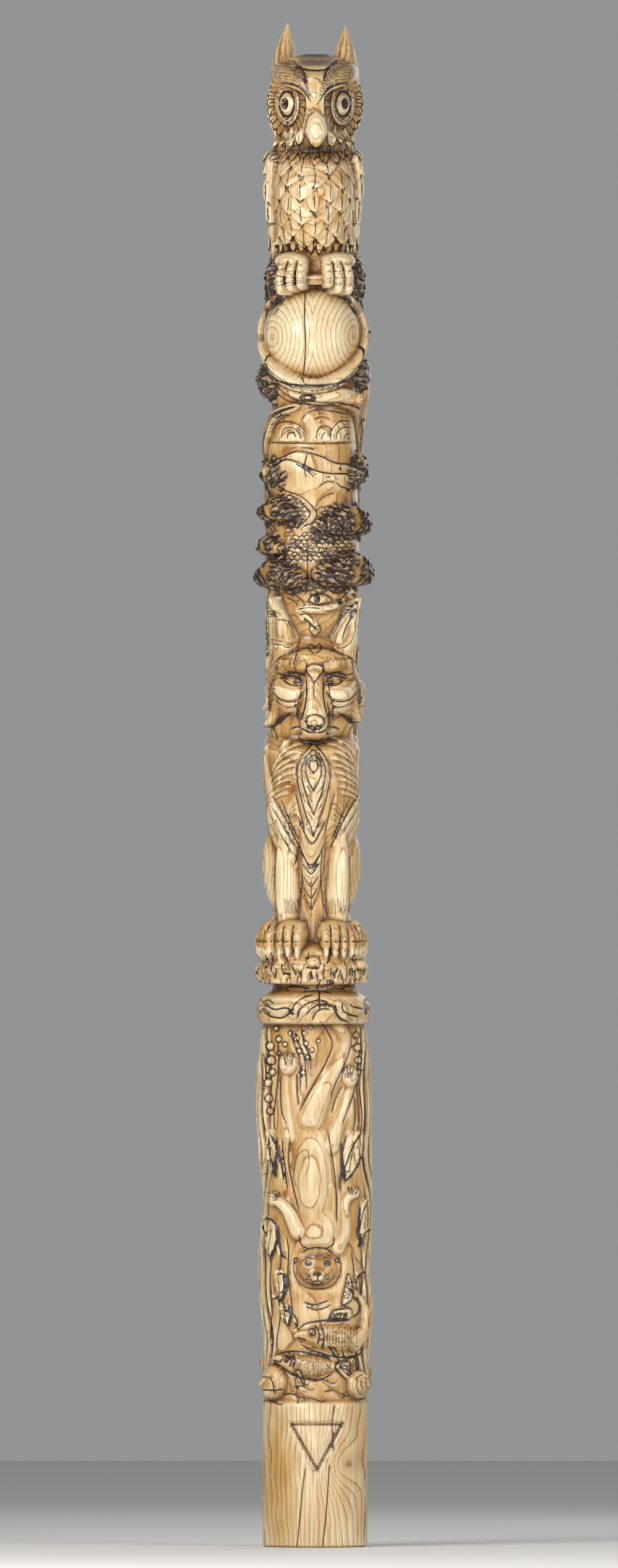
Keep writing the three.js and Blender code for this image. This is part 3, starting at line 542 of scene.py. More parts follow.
@dataclass
class OwlHead(Carving):
    """The owl's head: two facial discs turned outward, brow, beak and collar feathers."""

    title: str = "owl head"
    face_turn: float = 54.0
    eye_z: float = 4104.0
    ring: float = 57.0
    rim: float = 96.0
    drop: float = 1.14  # how much longer the disc is below and behind the eye
    petals: int = 24
    #: The disc's reach out of the pole against the distance from the eye's centre.
    dish: tuple = ((0, 107), (14, 106), (24, 102), (31, 96), (35, 95), (39, 98), (46, 99.5), (53, 98),
        (56, 94), (60, 92), (86, 95), (96, 98))

    def carve(self, log: Log) -> None:
        for side in (-1, 1):
            self.disc(log, side)
            self.brow(log, side)
        log.lump(0, 96, 4040, (40, 40, 70), blend=10)
        self.hair(log)
        self.beak(log)
        self.feathers(log)
        crown = ease((log.z[:, None] - 4206) / 8) * ease((52 - np.abs(log.across())) / 8)
        log.leafy = np.maximum(log.leafy, crown * 0.9)

    def disc(self, log: Log, side: int) -> None:
        """One facial disc with its eye, ring, feather cells and pale rim."""
        bearing = side * self.face_turn
        cells, heights, turn = log.window(bearing, self.eye_z, 64, self.rim * self.drop + 12)
        u, v = side * 98.0 * np.tan(np.radians(turn)), heights - self.eye_z
        v = np.where(v < 0, v / self.drop, v)
        u = np.where(u > 0, u / self.drop, u)
        rho, angle = np.hypot(u, v), np.arctan2(v, u)
        reach, height = zip(*self.dish)
        surface = np.interp(rho, reach, height) / np.cos(np.radians(turn))
        share = angle * self.petals / math.tau
        off = np.abs(share - np.round(share)) * 2.0  # 0 on a petal's middle, 1 between two
        width = math.tau * rho / self.petals / 2.0
        tip = 91.0 - 6.0 * off ** 2
        between = np.where((rho > self.ring + 1) & (rho < tip), (1 - off) * width, FAR)
        surface -= 2.6 * np.clip(1 - between / 4.5, 0, 1)
        surface -= 2.6 * np.clip(1 - np.abs(rho - tip) / 4.0, 0, 1)
        inside = ease((self.rim + 2 - rho) / 6)
        log.radius[cells] += inside * (surface - log.radius[cells])
        log.cut[cells] *= 1 - inside
        log.forget(cells, inside > 0.3)
        log.draw(cells, between * np.where(share > np.round(share), -1.0, 1.0), 1.8)
        tone = np.interp(rho, (6, 7, 13, 14, 31, 34, 38, 56, 58, 76, 90, 92),
            (-0.6, 0.1, 0.1, 0.9, 0.9, -0.5, 0.4, 0.35, 0.15, 0.05, 0.2, 0.8))
        for line, half in ((rho - tip, 1.9), (rho - self.ring, 2.3), (rho - 33.0, 2.8),
                (rho - 14.0, 1.9), (rho - 45.0, 0.9), (rho - 4.0, 3.4)):
            log.draw(cells, np.where((np.abs(line) < 8) & (rho < self.rim + 6), line, FAR), half)
        log.tone[cells] += inside * (tone - log.tone[cells])

    def brow(self, log: Log, side: int) -> None:
        """The heavy brow from the middle of the face up to the tuft."""
        log.limb(mirrored([(1, 141, 4128), (15, 134, 4160), (38, 122, 4178), (84, 100, 4196),
            (112, 98, 4200)], side), (20, 25, 25, 22, 20), blend=8, tone=-0.2)

    def hair(self, log: Log) -> None:
        """Strands from the middle of the brow that sweep up and back into the tufts."""
        for side in (-1, 1):
            for i in range(8):
                start = (side * (6 + 1.5 * i), 4118 + 11 * i)
                bend = (side * (30 + 2.0 * i), 4146 + 9.4 * i)
                end = (side * (64 - 0.5 * i), 4163 + 8.8 * i)
                path = log.on_front([start, bend, end])
                flank = mirrored([(72 + 5 * i, 4176 + 7.0 * i), (108 + 3 * i, 4184 + 6 * i)], side)
                path = np.vstack([path, curve([path[-1], *flank])[1:]])
                log.groove(path, 1.3 + 0.4 * (i % 2), 2.6, 0.6, taper=0.1)
            for i in range(0, 8, 2):
                drop = mirrored([(100 + 4 * i, 4192 - 12 * i), (128 + 3 * i, 4150 - 16 * i),
                    (150 + 2 * i, 4090 - 14 * i)], side)
                log.score(drop, 1.6, 2.4, 0.5)
            edge = mirrored([(8, 4104), (34, 4140), (66, 4158), (96, 4160), (118, 4150)], side)
            log.stroke(edge, 3.2, 4.0, 0.8)
        log.stroke([(-58, 4214), (-30, 4201), (20, 4199), (48, 4207)], 3.4, 3.6)
        log.stroke([(66, 4228), (34, 4200), (25, 4164)], 3.2, 3.4)
        log.stroke([(-60, 4210), (-34, 4196), (-22, 4160)], 2.6, 3.4)
        log.tint(4, 4118, 24, 34, 0.55)
        log.tint(0, 4190, 84, 26, -0.22)
        for x, z in ((5, 4124), (5, 4110), (4, 4096)):
            log.knob(x, 149, z, (7, 7, 7), blend=1, tone=0.9)

    def beak(self, log: Log) -> None:
        """The beak, a pointed drop of pale wood."""
        log.front_limb([(4, 154, 4080), (4, 152, 4056), (4, 154, 4034), (4, 158, 4006), (4, 166, 3982)],
            (5, 25, 31, 21, 3), blend=0, tone=0.95)

    def feathers(self, log: Log) -> None:
        """Pale feathers under the discs and dark drooping ones round the neck."""
        floor = log.radius.copy()
        for z, tone, width, lean in ((3956, -0.45, 30, 5), (3938, -0.3, 34, -5)):
            for bearing in np.arange(-150, 151, 14.0):
                shift = 7.0 if z < 3950 else 0
                log.feather(bearing + shift, z + 7 * math.sin(bearing), width, 46, floor, 6.0, lean,
                    tone, ink=1.9)
        floor = log.radius.copy()
        for i, bearing in enumerate((-66, -50, -35, -21, 23, 37, 52, 68)):
            log.feather(bearing, 3976 + 7 * (i % 2), 36, 50, floor, 9.0, bearing * 0.35, 1.1, quill=0.6,
                ink=1.8)


@dataclass
class OwlBody(Carving):
    """The owl's breast of pointed feathers, folded wings and tail."""

    title: str = "owl body"
    slim: float = 9.0  # how much slimmer the right wing stands than the left
    #: Each part of a wing: bearings, radii and heights, half-widths and tone.
    plumes: tuple = ((((66, 120, 3946), (71, 127, 3880), (76, 115, 3760), (88, 108, 3650),
        (108, 122, 3540), (130, 142, 3450)), (20, 19, 17, 15, 13, 8), 0.55),
        (((86, 112, 3944), (88, 114, 3840), (96, 109, 3700), (120, 132, 3530)), (20, 22, 18, 8), 0.1),
        (((102, 120, 3948), (103, 110, 3840), (112, 108, 3700), (136, 142, 3520)), (22, 32, 26, 8), 0.1),
        (((140, 118, 3954), (140, 132, 3820), (146, 138, 3680), (158, 146, 3540)), (26, 36, 32, 12),
        0.0),)
    #: The wing's leading edge, as bearings and heights.
    border: tuple = ((55, 3940), (60, 3880), (65, 3760), (76, 3650), (96, 3550), (116, 3480))
    step: float = 27.5
    rows: tuple = (3930, 3895, 3861, 3824, 3790, 3755, 3720, 3692)

    def carve(self, log: Log) -> None:
        for side in (-1, 1):
            self.wing(log, side)
        floor = log.radius.copy()
        for i, z in reversed(list(enumerate(self.rows))):
            wide = self.step * (1.0 if z > 3740 else 0.92)
            for j in range(-3, 4):
                bearing = (j + 0.5 * (i % 2)) * wide
                if abs(bearing) < 72:
                    wobble = 4.0 * math.sin(j * 2.1 + i * 1.7)
                    log.feather(bearing, z + wobble, 84, 76, floor, 9.0, wobble,
                        0.35 + 0.15 * math.sin(j * 3.0 + i), quill=0.6, ink=2.7)
        log.tint(0, 3712, 60, 22, -0.35)
        floor = log.radius.copy()
        for bearing in np.arange(-66, 67, 12.0):
            log.feather(bearing, 3674 + 4 * math.sin(bearing), 26, 34, floor, 5, 0, 0.6, quill=0)

    def wing(self, log: Log, side: int) -> None:
        """One folded wing: a smooth pale rim, scales at the shoulder and long primaries."""
        slim = self.slim if side > 0 else 0.0
        for line, widths, tone in self.plumes:
            places = [(side * bearing, radius - slim, z) for bearing, radius, z in line]
            log.limb(places, widths, tone=tone)
        floor = log.radius.copy()
        for i, z in enumerate((3680, 3714, 3748, 3782, 3816, 3850, 3884, 3912)):
            for j in range(5):
                bearing = side * (97 + 17 * j + 8 * (i % 2))
                log.feather(bearing, z, 46, 64, floor, 4.5, side * -6, 0.1, quill=0.6, ink=1.8)
        for j in range(8):
            start = side * (92 + 10 * j)
            path = curve([(start, 3690 - 3 * j), (start + side * 9, 3600), (start + side * 26, 3500)])
            log.groove(path, 2.0, 4, 0.8)
        for shift, z, width, depth in ((0, 0, 2.6, 7), (26, 0, 2.2, 5)):
            edge = [(side * (shift * (1 - 0.1 * i) + bearing), height) for i,
                (bearing, height) in enumerate(self.border)]
            log.score(edge, width, depth, 0.9, taper=0.05)


@dataclass
class OwlFeet(Carving):
    """Six scaly toes with claws on a bark perch, and the plate between them."""

    title: str = "owl feet"
    toes: tuple = ((-98, 3557), (-70, 3567), (-41, 3573), (40, 3578), (68, 3562), (96, 3559))
    joints: tuple = (3650, 3630, 3611, 3597)

    def carve(self, log: Log) -> None:
        log.limb([(-46, 122, 3602), (0, 124, 3602), (46, 122, 3602)], (15, 15), tone=-0.4)
        log.panel([(-44, 3688), (29, 3690), (26, 3626), (-38, 3624)], -6, 6, tone=0.3)
        log.ridge(log.on_front([(-26, 3613), (24, 3613)]), 7, 6, tone=0.9, taper=0.1)
        for side in (-1, 1):
            log.knob(side * 66, 108, 3656, (52, 40, 26), tone=0.2)
        for x, tip in self.toes:
            lean = 0.84
            log.front_limb([(x * lean, 112, 3668), (x * 0.9, 150, 3650), (x, 168, 3614),
                (x, 170, tip + 26)], (14, 15, 14, 13), blend=2, tone=0.3)
            log.front_limb([(x, 170, tip + 30), (x, 172, tip + 16), (x * 1.02, 172, tip + 3)],
                (14, 12, 3), blend=1, tone=0.3)
        for x, tip in self.toes:
            for z in (*self.joints, tip + 30):
                path = log.on_front([(x - 12, z + 3), (x, z - 3), (x + 12, z + 3)], 4)
                log.groove(path, 1.3, 2.6, 0.6)
        for x in (-84, -55, 54, 82):
            log.stroke([(x * 0.9, 3666), (x, 3630), (x, 3580)], 2.2, 5, 0.7)


@dataclass
class MoonAndWreath(Carving):
    """The full moon, split by a crack, in a wreath of bark with knots."""

    title: str = "moon and wreath"
    x: float = -6.0
    forward: float = 37.0
    z: float = 3446.0
    size: float = 139.0
    socket: float = 84.0  # how far forward the moon's edge lies in its hollow
    reach: float = 154.0  # the wreath's distance from the pole's axis
    tuck: float = 40.0  # how much nearer to the axis its ends lie

    def circle(self, out: float, start: float, end: float) -> list:
        """Places round the moon, as bearings, radii and heights.

        Args:
            out: how far outside the moon's edge they lie.
            start, end: the first and last angle.
        """
        places = []
        for angle in np.radians(np.linspace(start, end, 17)):
            x = self.x + (self.size + out) * math.cos(angle)
            reach = self.reach - self.tuck * max(math.sin(angle), 0.0)
            forward = math.sqrt(max(reach ** 2 - x ** 2, 0.0))
            places.append((math.degrees(math.atan2(x, forward)), math.hypot(x, forward),
                self.z + (self.size + out) * math.sin(angle)))
        return places

    def carve(self, log: Log) -> None:
        cells, heights, turn = log.window(0, self.z, 66, self.size + 14)
        cosine = np.cos(np.radians(turn))[None, :]
        beyond = np.hypot(self.socket * np.tan(np.radians(turn)) - self.x, heights - self.z)
        sunk = ease((self.size + 12 - beyond) / 5)
        floor = np.minimum(log.radius[cells], self.socket / cosine)
        log.radius[cells] += sunk * (floor - log.radius[cells])
        log.limb(self.circle(9, 44, -224), (10, 11, 16, 25, 16, 11, 10), tone=0.25)
        log.front_limb([(-60, 150, 3284), (0, 152, 3272), (70, 148, 3276), (118, 142, 3262)],
            (16, 24, 22, 20), tone=0.15)
        log.forget(cells, beyond < self.size + 1)
        log.knob(self.x, self.forward, self.z, (self.size,) * 3, blend=0, tone=0.85)
        across = log.across()[cells] - self.x
        on_moon = (np.hypot(across, heights - self.z) < self.size - 2) & (beyond < self.size + 2)
        side = np.hypot(np.abs(across) - 116, (heights + 4 - self.z) * 0.62)
        log.grain[cells] = np.where(on_moon, side * 0.95, log.grain[cells])
        for side in (-1, 1):
            log.tint(self.x + side * 122, self.z, 34, 110, -0.4)
        rim = self.size + 3.5 - beyond
        log.cut[cells] = np.maximum(log.cut[cells], 0.9 * ease(1 - np.abs(rim) / 6))
        log.draw(cells, np.where(np.abs(rim) < 8, rim, FAR), 3.2)
        for out, start, end in ((10, 40, -220), (17, -24, -156), (27, -40, -140)):
            line = [place[::2] for place in self.circle(out, start, end)]
            log.score(line, 1.6, 3, 0.75, taper=0.1)
        log.strokes((((-150, 3400), (-128, 3330), (-100, 3290), (-50, 3262), (20, 3256), (104, 3256)),
            ((-130, 3300), (-84, 3262), (-30, 3250), (40, 3246), (98, 3244))), 2.0, 3, 0.8)
        log.knob(-20, 160, 3269, (24, 16, 12), tone=-0.3)
        log.ring(-20, 3269, 22, 2.6, 3, 0.9, squash=0.5)
        log.ring(-20, 3269, 11, 2.4, 2, 0.8, squash=0.5)
        log.knob(122, 108, 3264, (14, 18, 16), tone=-0.2)
        log.stroke([(-26, 3582), (-30, 3510), (-27, 3420), (-33, 3330), (-31, 3312)], 1.9, 3.5, 1.0,
            taper=0.02, step=8)


@dataclass
class Foliage(Carving):
    """Clumps of dark leaves at the flanks of the moon, the hills and the feet."""

    title: str = "foliage"
    #: Each clump: bearing, height, spread in degrees, half-height and outer radius.
    clumps: tuple = ((72, 3060, 26, 54, 160), (-66, 3052, 24, 44, 166), (-52, 2946, 32, 42, 180),
        (50, 2912, 50, 50, 172), (-66, 2844, 28, 34, 176), (-54, 2762, 42, 46, 184),
        (50, 2774, 50, 56, 177), (78, 3592, 18, 90, 150), (112, 3452, 26, 42, 168),
        (104, 3334, 36, 58, 164), (-76, 3590, 26, 80, 150), (-114, 3438, 28, 36, 170),
        (-98, 3310, 42, 62, 170), (-140, 3190, 16, 44, 166),)

    def carve(self, log: Log) -> None:
        for bearing, z, spread, height, radius in self.clumps:
            for i in (-1, 0, 1):
                drop = 0.16 if i == 0 else -0.12
                tall = height * (0.8 if i == 0 else 0.66)
                size = (math.radians(spread) * radius * 0.46, 32, tall)
                log.lump(bearing + i * spread / 2, radius - 40 - abs(i) * 4, z + drop * height, size,
                    blend=2, tone=-0.9)
            self.leaves(log, bearing, z, spread, height)

    def leaves(self, log: Log, bearing: float, z: float, spread: float, height: float) -> None:
        """Lays flat drooping sprays over one clump, in rows from its flat underside up."""
        pick = log.random.uniform
        floor = log.radius.copy()
        rows = max(3, round(height * 2 / 13))
        for row in range(rows):
            up = row / (rows - 1)
            wide = spread * (1.0 - 0.75 * (up - 0.15) ** 2 if up > 0.15 else 0.96)
            count = max(3, round(math.radians(2 * wide) * MEAN_RADIUS / 23))
            for j in range(count):
                place = bearing + wide * (2 * (j + pick(0.1, 0.9)) / count - 1)
                lean = math.copysign(pick(38, 84), place - bearing)
                height_here = z + height * (1.7 * up - 0.92) + pick(-5, 5)
                height_here -= 9 * ((place - bearing) / spread) ** 2
                log.feather(place, height_here, pick(15, 21), pick(24, 40), floor, pick(5, 11), -lean,
                    pick(-0.9, -0.1), pick(0.7, 1.0), quill=0, ink=2.6)


@dataclass
class Landscape(Carving):
    """Clouds, ridges, a river and woods between the two bent trunks."""

    title: str = "landscape"
    sky_edge: float = 3142.0

    def carve(self, log: Log) -> None:
        self.clouds(log)
        self.hills(log)
        self.woods(log)

    def clouds(self, log: Log) -> None:
        """Scrolled clouds that stand on a level line."""
        for x, width, height in ((20, 27, 40), (64, 27, 62), (-18, 31, 84), (-74, 32, 54)):
            log.panel([*arc(x, self.sky_edge, width, 0, 180, height / width)], 3.0, 7, tone=0.55)
        log.strokes([[(-118, 3146), (-110, 3190), (-72, 3200), (-34, 3180), (-20, 3144)],
            [(-98, 3146), (-92, 3176), (-70, 3184), (-46, 3170), (-38, 3146)],
            [(-80, 3148), (-76, 3166), (-62, 3168), (-54, 3152)],
            [(-46, 3190), (-30, 3218), (0, 3233), (50, 3230), (100, 3218)],
            [(3, 3144), (8, 3176), (24, 3188), (44, 3182), (44, 3164), (30, 3162)],
            [(18, 3146), (22, 3164), (32, 3170)], [(42, 3144), (50, 3180), (74, 3202), (106, 3198)],
            [(60, 3146), (66, 3172), (84, 3184), (104, 3180)], [(82, 3144), (88, 3162), (102, 3166)],
            [(-4, 3206), (20, 3214), (48, 3206)], [(-116, 3206), (-96, 3218), (-70, 3216)]], 2.4, 2.6,
            0.75)
        log.stroke([(-128, self.sky_edge - 2), (0, self.sky_edge - 4), (118, self.sky_edge - 2)], 2.4,
            2.4, 0.7, taper=0.02)

    def hills(self, log: Log) -> None:
        """Ridges one behind another, with the river that comes down between them."""
        crests = (((-140, 3074), (-100, 3096), (-54, 3116), (-10, 3110), (24, 3099), (62, 3082),
            (110, 3078)), ((-118, 3070), (-84, 3092), (-46, 3084), (0, 3062), (45, 3053), (100, 3052)))
        across, height = log.across(), log.z[:, None]
        for crest in crests:
            places, tops = np.array(crest, float).T
            below = np.interp(across, places, tops) - height
            spread = ease((72 - np.abs(log.bearing)) / 6) * ease((height - 2990) / 30)
            front = (log.cosine > 0) * spread
            log.radius += 2.6 * ease(below / 4) * front
            log.tone += 0.25 * ease(below / 10) * ease((60 - below) / 50) * front
            log.stroke(crest, 2.8, 2.8, 0.85, taper=0.03)
        log.strokes([[(-60, 3082), (-20, 3060), (0, 3040)], [(10, 3015), (34, 3030), (60, 3028)],
            [(60, 3030), (74, 3016), (96, 3010)], [(-22, 3112), (-30, 3070), (-24, 3035)],
            [(-118, 3018), (-80, 3002), (-50, 2992), (-20, 2972), (5, 2940), (-8, 2915), (-34, 2900),
            (-48, 2884)], [(-60, 2984), (-30, 2962), (-14, 2938), (-30, 2916), (-56, 2900)],
            [(8, 2972), (30, 2990), (58, 2998)], [(-110, 2994), (-84, 2980), (-66, 2974)],
            [(-74, 2876), (-55, 2846), (-20, 2832), (24, 2824), (50, 2808)],
            [(-66, 2862), (-40, 2836), (10, 2814)], [(-21, 2840), (-21, 2792), (-22, 2742)],
            [(-10, 2786), (-12, 2744)], [(-142, 2912), (-116, 2880)], [(-128, 2906), (-112, 2896)]], 2.4,
            2.8, 0.85)

    def woods(self, log: Log) -> None:
        """Rounded tree tops as staggered rows of scallops beside the river."""
        pick = log.random.uniform
        for row, z in enumerate(np.arange(2984, 2796, -11.5)):
            for x in np.arange(-74, 106, 17):
                place = x + pick(-3, 3) + (8.5 if row % 2 else 0)
                river = abs(place - np.interp(z, (2885, 2900, 2940, 2972), (-48, -34, 5, -20))) < 17
                if river and z > 2870 or z > 2962 - 0.35 * place:
                    continue
                size = pick(7.5, 10)
                top = z + pick(-2, 2)
                cap = log.on_front(arc(place, top, size, -10, 190, 0.95), 4)
                log.panel(arc(place, top, size, -20, 200, 0.9), 2.2, 5, pick(0.2, 0.7))
                log.groove(cap, 1.9, 2.0, 0.85, taper=0.1)


@dataclass
class TreeEye(Carving):
    """The eye in the trunk above the wolf, with its curls of bark and small heart."""

    title: str = "tree eye"

    def carve(self, log: Log) -> None:
        log.front_limb([(-34, 116, 2640), (-50, 112, 2668), (-10, 122, 2668), (50, 118, 2672),
            (96, 104, 2712)], (8, 11, 12, 10, 9), tone=0.1)
        log.front_limb([(-92, 104, 2706), (-40, 120, 2728), (10, 126, 2722), (56, 120, 2704)],
            (8, 12, 10, 7), tone=0.1)
        log.front_limb([(-44, 116, 2664), (-14, 118, 2640), (6, 114, 2618)], (11, 6), tone=0.2)
        log.knob(8, 118, 2695, (24, 16, 14), tone=0.85)
        almond = [(-20, 2692), (-2, 2708), (22, 2711), (44, 2700), (50, 2690), (28, 2682), (2, 2681),
            (-20, 2692)]
        log.stroke(almond, 2.6, 3.5, 1.0, taper=0)
        log.ring(6, 2696, 9, 2.2, 2.0, 1.0)
        log.ring(6, 2696, 3, 2.2, 1.5, 1.0)
        log.strokes([[(-40, 2700), (-14, 2722), (22, 2728), (60, 2712), (92, 2716)],
            [(-70, 2716), (-36, 2690), (-30, 2672)], [(-55, 2664), (-20, 2672), (20, 2668)],
            [(-50, 2650), (-24, 2654), (-8, 2640), (2, 2620)], [(20, 2660), (60, 2666), (98, 2700)],
            [(-84, 2700), (-60, 2690), (-50, 2676)], [(-36, 2640), (-18, 2632), (-10, 2618)],
            [(56, 2690), (80, 2700), (104, 2724)]], 2.5, 3.0, 0.8)
        log.stroke([(70, 2684), (75, 2690), (79, 2684)], 6, 10, 1.0, taper=0, step=3)
        heart = [(0, 2588), (-16, 2606), (-13, 2618), (-4, 2618), (0, 2610), (6, 2619), (15, 2618),
            (16, 2606), (0, 2588)]
        log.panel(heart[:-1], 3, 5, tone=0.3)
        log.stroke(heart, 2.2, 2.5, 0.9, taper=0, step=3)


@dataclass
class WolfHead(Carving):
    """The wolf's face with its ears, brows, muzzle and ruff."""

    title: str = "wolf head"

    def carve(self, log: Log) -> None:
        for side in (-1, 1):
            tip = 80 if side > 0 else 96
            log.front_limb(mirrored([(66, 88, 2500), (78, 100, 2580), (104, 130, 2650),
                (129, math.hypot(129, tip), 2699)], side), (48, 44, 25, 4), blend=0, tone=0.15)
            log.lump(side * 14, 112, 2520, (62, 38, 34), side * 10, blend=10, tone=0.1)
            log.knob(side * 54, 82, 2420, (58, 40, 56), blend=12, tone=0.35)
            log.lump(side * 64, 84, 2436, (62, 48, 84), side * 8, blend=14, tone=0.2)
        for line in (((-60, 98, 2420), (-68, 116, 2370), (-78, 151, 2328)),
                ((-74, 104, 2450), (-80, 122, 2408), (-86, 149, 2378)),
                ((60, 92, 2430), (70, 108, 2384), (80, 133, 2345)),
                ((76, 98, 2460), (84, 116, 2420), (92, 140, 2388)),
                ((-104, 116, 2440), (-108, 128, 2390), (-112, 148, 2350)),
                ((106, 116, 2440), (110, 128, 2390), (114, 146, 2350))):
            log.limb(line, (30, 20, 3), blend=12, tone=0.05)
        log.front_limb([(-3, 100, 2500), (-3, 112, 2440), (-3, 116, 2390), (-3, 122, 2350),
            (-3, 116, 2326)], (24, 29, 35, 42, 36), blend=8, tone=0.2)
        log.knob(-3, 100, 2306, (40, 40, 18), blend=6, tone=0.0)
        log.knob(0, 152, 2347, (26, 15, 19), blend=2, tone=0.45)
        self.ears(log)
        self.eyes(log)
        self.muzzle(log)
        self.fur(log)

    def ears(self, log: Log) -> None:
        """The hollows of the ears, with their folds."""
        right = [(48, 2572), (60, 2610), (84, 2656), (119, 2688), (118, 2640), (112, 2592), (96, 2566),
            (70, 2556)]
        left = [(-52, 2576), (-66, 2612), (-92, 2660), (-121, 2688), (-122, 2640), (-116, 2594),
            (-96, 2566), (-72, 2558)]
        for outline in (right, left):
            log.panel(outline, -17, 10, tone=0.6)
            log.stroke([*outline, outline[0]], 2.4, 2.5, 0.7, taper=0)
            middle = [(0.5 * (outline[0][0] + outline[6][0]), 2570), (outline[2][0] * 1.02, 2614),
                (outline[3][0] * 0.97, 2672)]
            log.stroke(middle, 4, 4, 0.8)
            log.ridge(log.on_front([(x * 0.93, z - 8) for x, z in middle]), 7, 6, tone=0.75)

    def eyes(self, log: Log) -> None:
        """Almond eyes under dark brows, with pale crescents below."""
        for inner, outer, pupil in ((-35, -108, -53), (26, 99, 44)):
            step = 1 if outer > 0 else -1
            log.panel([(inner, 2456), (pupil, 2474), (pupil + step * 18, 2476), (outer, 2470),
                (pupil + step * 14, 2454)], -4, 5, tone=0.85)
            upper = [(inner, 2455), (pupil, 2475), (pupil + step * 22, 2476), (outer, 2468)]
            lower = [(inner, 2455), (pupil - step * 2, 2450), (pupil + step * 20, 2453),
                (outer - step * 16, 2466)]
            log.stroke(upper, 3.2, 4, 1.0)
            log.stroke(lower, 2.6, 3, 0.9)
            log.stroke([(inner, 2462), (pupil, 2486), (pupil + step * 26, 2486), (outer, 2478)], 2.6,
                2.5, 0.7)
            bearing = log.bearing_at(pupil, 2463)
            log.lump(bearing, 101, 2463, (9, 12, 9), blend=0, tone=-0.5)
            log.ring(pupil, 2463, 8, 2.2, 2, 1.0, step=3)
            log.stroke([(pupil - 1, 2463), (pupil + 1, 2463)], 3.5, 2, 1.0, taper=0, step=1)
            brow = mirrored([(114, 2474), (98, 2501), (68, 2508), (26, 2492), (24, 2478), (58, 2488),
                (92, 2484)], step)
            log.panel(brow, 4, 4, tone=-0.95)
            log.stroke(mirrored([(116, 2488), (92, 2478), (60, 2484), (26, 2476), (24, 2468)], step),
                2.6, 3, 0.8)
            crescent = mirrored([(30, 2444), (60, 2440), (98, 2452), (112, 2466), (118, 2436),
                (100, 2414), (66, 2408), (40, 2420)], step)
            log.panel(crescent, 3, 6, tone=0.9)
            log.stroke(mirrored([(30, 2440), (44, 2414), (72, 2404), (104, 2412), (120, 2436)], step),
                2.6, 3.5, 0.8)
            log.stroke(mirrored([(40, 2400), (70, 2388), (100, 2396), (118, 2414)], step), 2.4, 2.5, 0.6)

    def muzzle(self, log: Log) -> None:
        """The drop on the forehead, bridge, nose pad, lips and whisker lines."""
        drop = [(-2, 2459), (-14, 2476), (-24, 2490), (-22, 2503), (-8, 2511), (8, 2510), (22, 2502),
            (22, 2490), (10, 2474), (-2, 2459)]
        log.panel(drop[:-1], 3.5, 5, tone=0.8)
        log.stroke(drop, 2.4, 3, 0.9, taper=0, step=3)
        log.stroke([(-2, 2459), (-3, 2436), (-2, 2412)], 2.0, 2.5, 0.9)
        log.strokes(([(0, 2539), (-16, 2552), (-22, 2564)], [(0, 2539), (16, 2552), (22, 2564)]), 2.4, 3,
            0.85)
        log.stroke([(-24, 2562), (-10, 2568), (0, 2560), (10, 2568), (24, 2562)], 2.2, 2.5, 0.7)
        for side in (-1, 1):
            edge = mirrored([(26, 2478), (24, 2430), (30, 2385), (42, 2345), (38, 2326)], side)
            log.stroke(edge, 4, 4.5, 0.75)
            log.stroke(mirrored([(34, 2470), (42, 2430), (52, 2380), (50, 2340)], side), 3, 2.5, 0.5)
            log.stroke(mirrored([(8, 2338), (14, 2333), (18, 2338)], side), 3, 3, 1.0, taper=0, step=3)
            for i in range(5):
                log.stroke(mirrored([(20 + 4 * i, 2352 + 5 * i), (34 + 4 * i, 2346 + 8 * i)], side), 2.0,
                    1.6, 0.5, step=4)
            log.stroke(mirrored([(2, 2316), (20, 2318), (40, 2330), (60, 2330), (74, 2320)], side), 3,
                4.5, 1.0)
        nose = [(-26, 2346), (-20, 2362), (0, 2368), (20, 2362), (27, 2346), (18, 2330), (0, 2325),
            (-18, 2330), (-26, 2346)]
        log.stroke(nose, 2.6, 3, 0.85, taper=0, step=3)
        log.stroke([(0, 2332), (0, 2318)], 2.2, 3, 1.0, taper=0, step=3)
        log.stroke([(-32, 2300), (-14, 2294), (0, 2294), (14, 2294), (30, 2302)], 3, 4, 0.8)
        log.stroke([(-42, 2590), (-48, 2556), (-60, 2512), (-50, 2480)], 2.2, 3.5, 1.0)

    def fur(self, log: Log) -> None:
        """Stained fur on the forehead and cheeks, a painted shadow down each side of the muzzle, and
        strokes back along the ruff.
        """
        log.tint(0, 2534, 104, 34, -0.75)
        for side in (-1, 1):
            log.tint(side * 122, 2420, 26, 80, -0.4)
            # A dark band down each side of the muzzle: a painted shadow.
            log.tint(side * 41, 2390, 12, 66, -0.7)
            log.tint(side * 84, 2366, 44, 22, -0.35)
            for i in range(9):
                start = (side * (96 + 2.5 * i), 2536 - 15 * i)
                path = [start, (side * (118 + 1.5 * i), start[1] - 26),
                    (side * (132 + i), start[1] - 58)]
                log.stroke(path, 2.4, 2.6, 0.6)
            for i in range(11):
                bearing = side * (92 + 8 * i)
                z = 2480 - 5 * i + 20 * math.sin(i * 2.3)
                path = curve([(bearing, z), (bearing + side * 7, z - 44), (bearing + side * 9, z - 96)])
                log.groove(path, 2.0, 3.4, 0.6)
            for i in range(5):
                path = mirrored([(60 + 9 * i, 2376 - 2 * i), (82 + 9 * i, 2360 - 5 * i),
                    (104 + 8 * i, 2336 - 4 * i)], side)
                log.stroke(path, 2.2, 2.4, 0.6)
            for i in range(7):
                path = mirrored([(26 + 11 * i, 2512 + 2.5 * i), (38 + 12 * i, 2536 - 2 * i)], side)
                log.stroke(path, 1.3, 2.0, 0.6)
            log.stroke(mirrored([(118, 2506), (98, 2530), (60, 2546), (34, 2548)], side), 1.9, 3, 0.7)
            log.stroke(mirrored([(22, 2520), (26, 2496), (34, 2478)], side), 2.4, 3, 0.7)
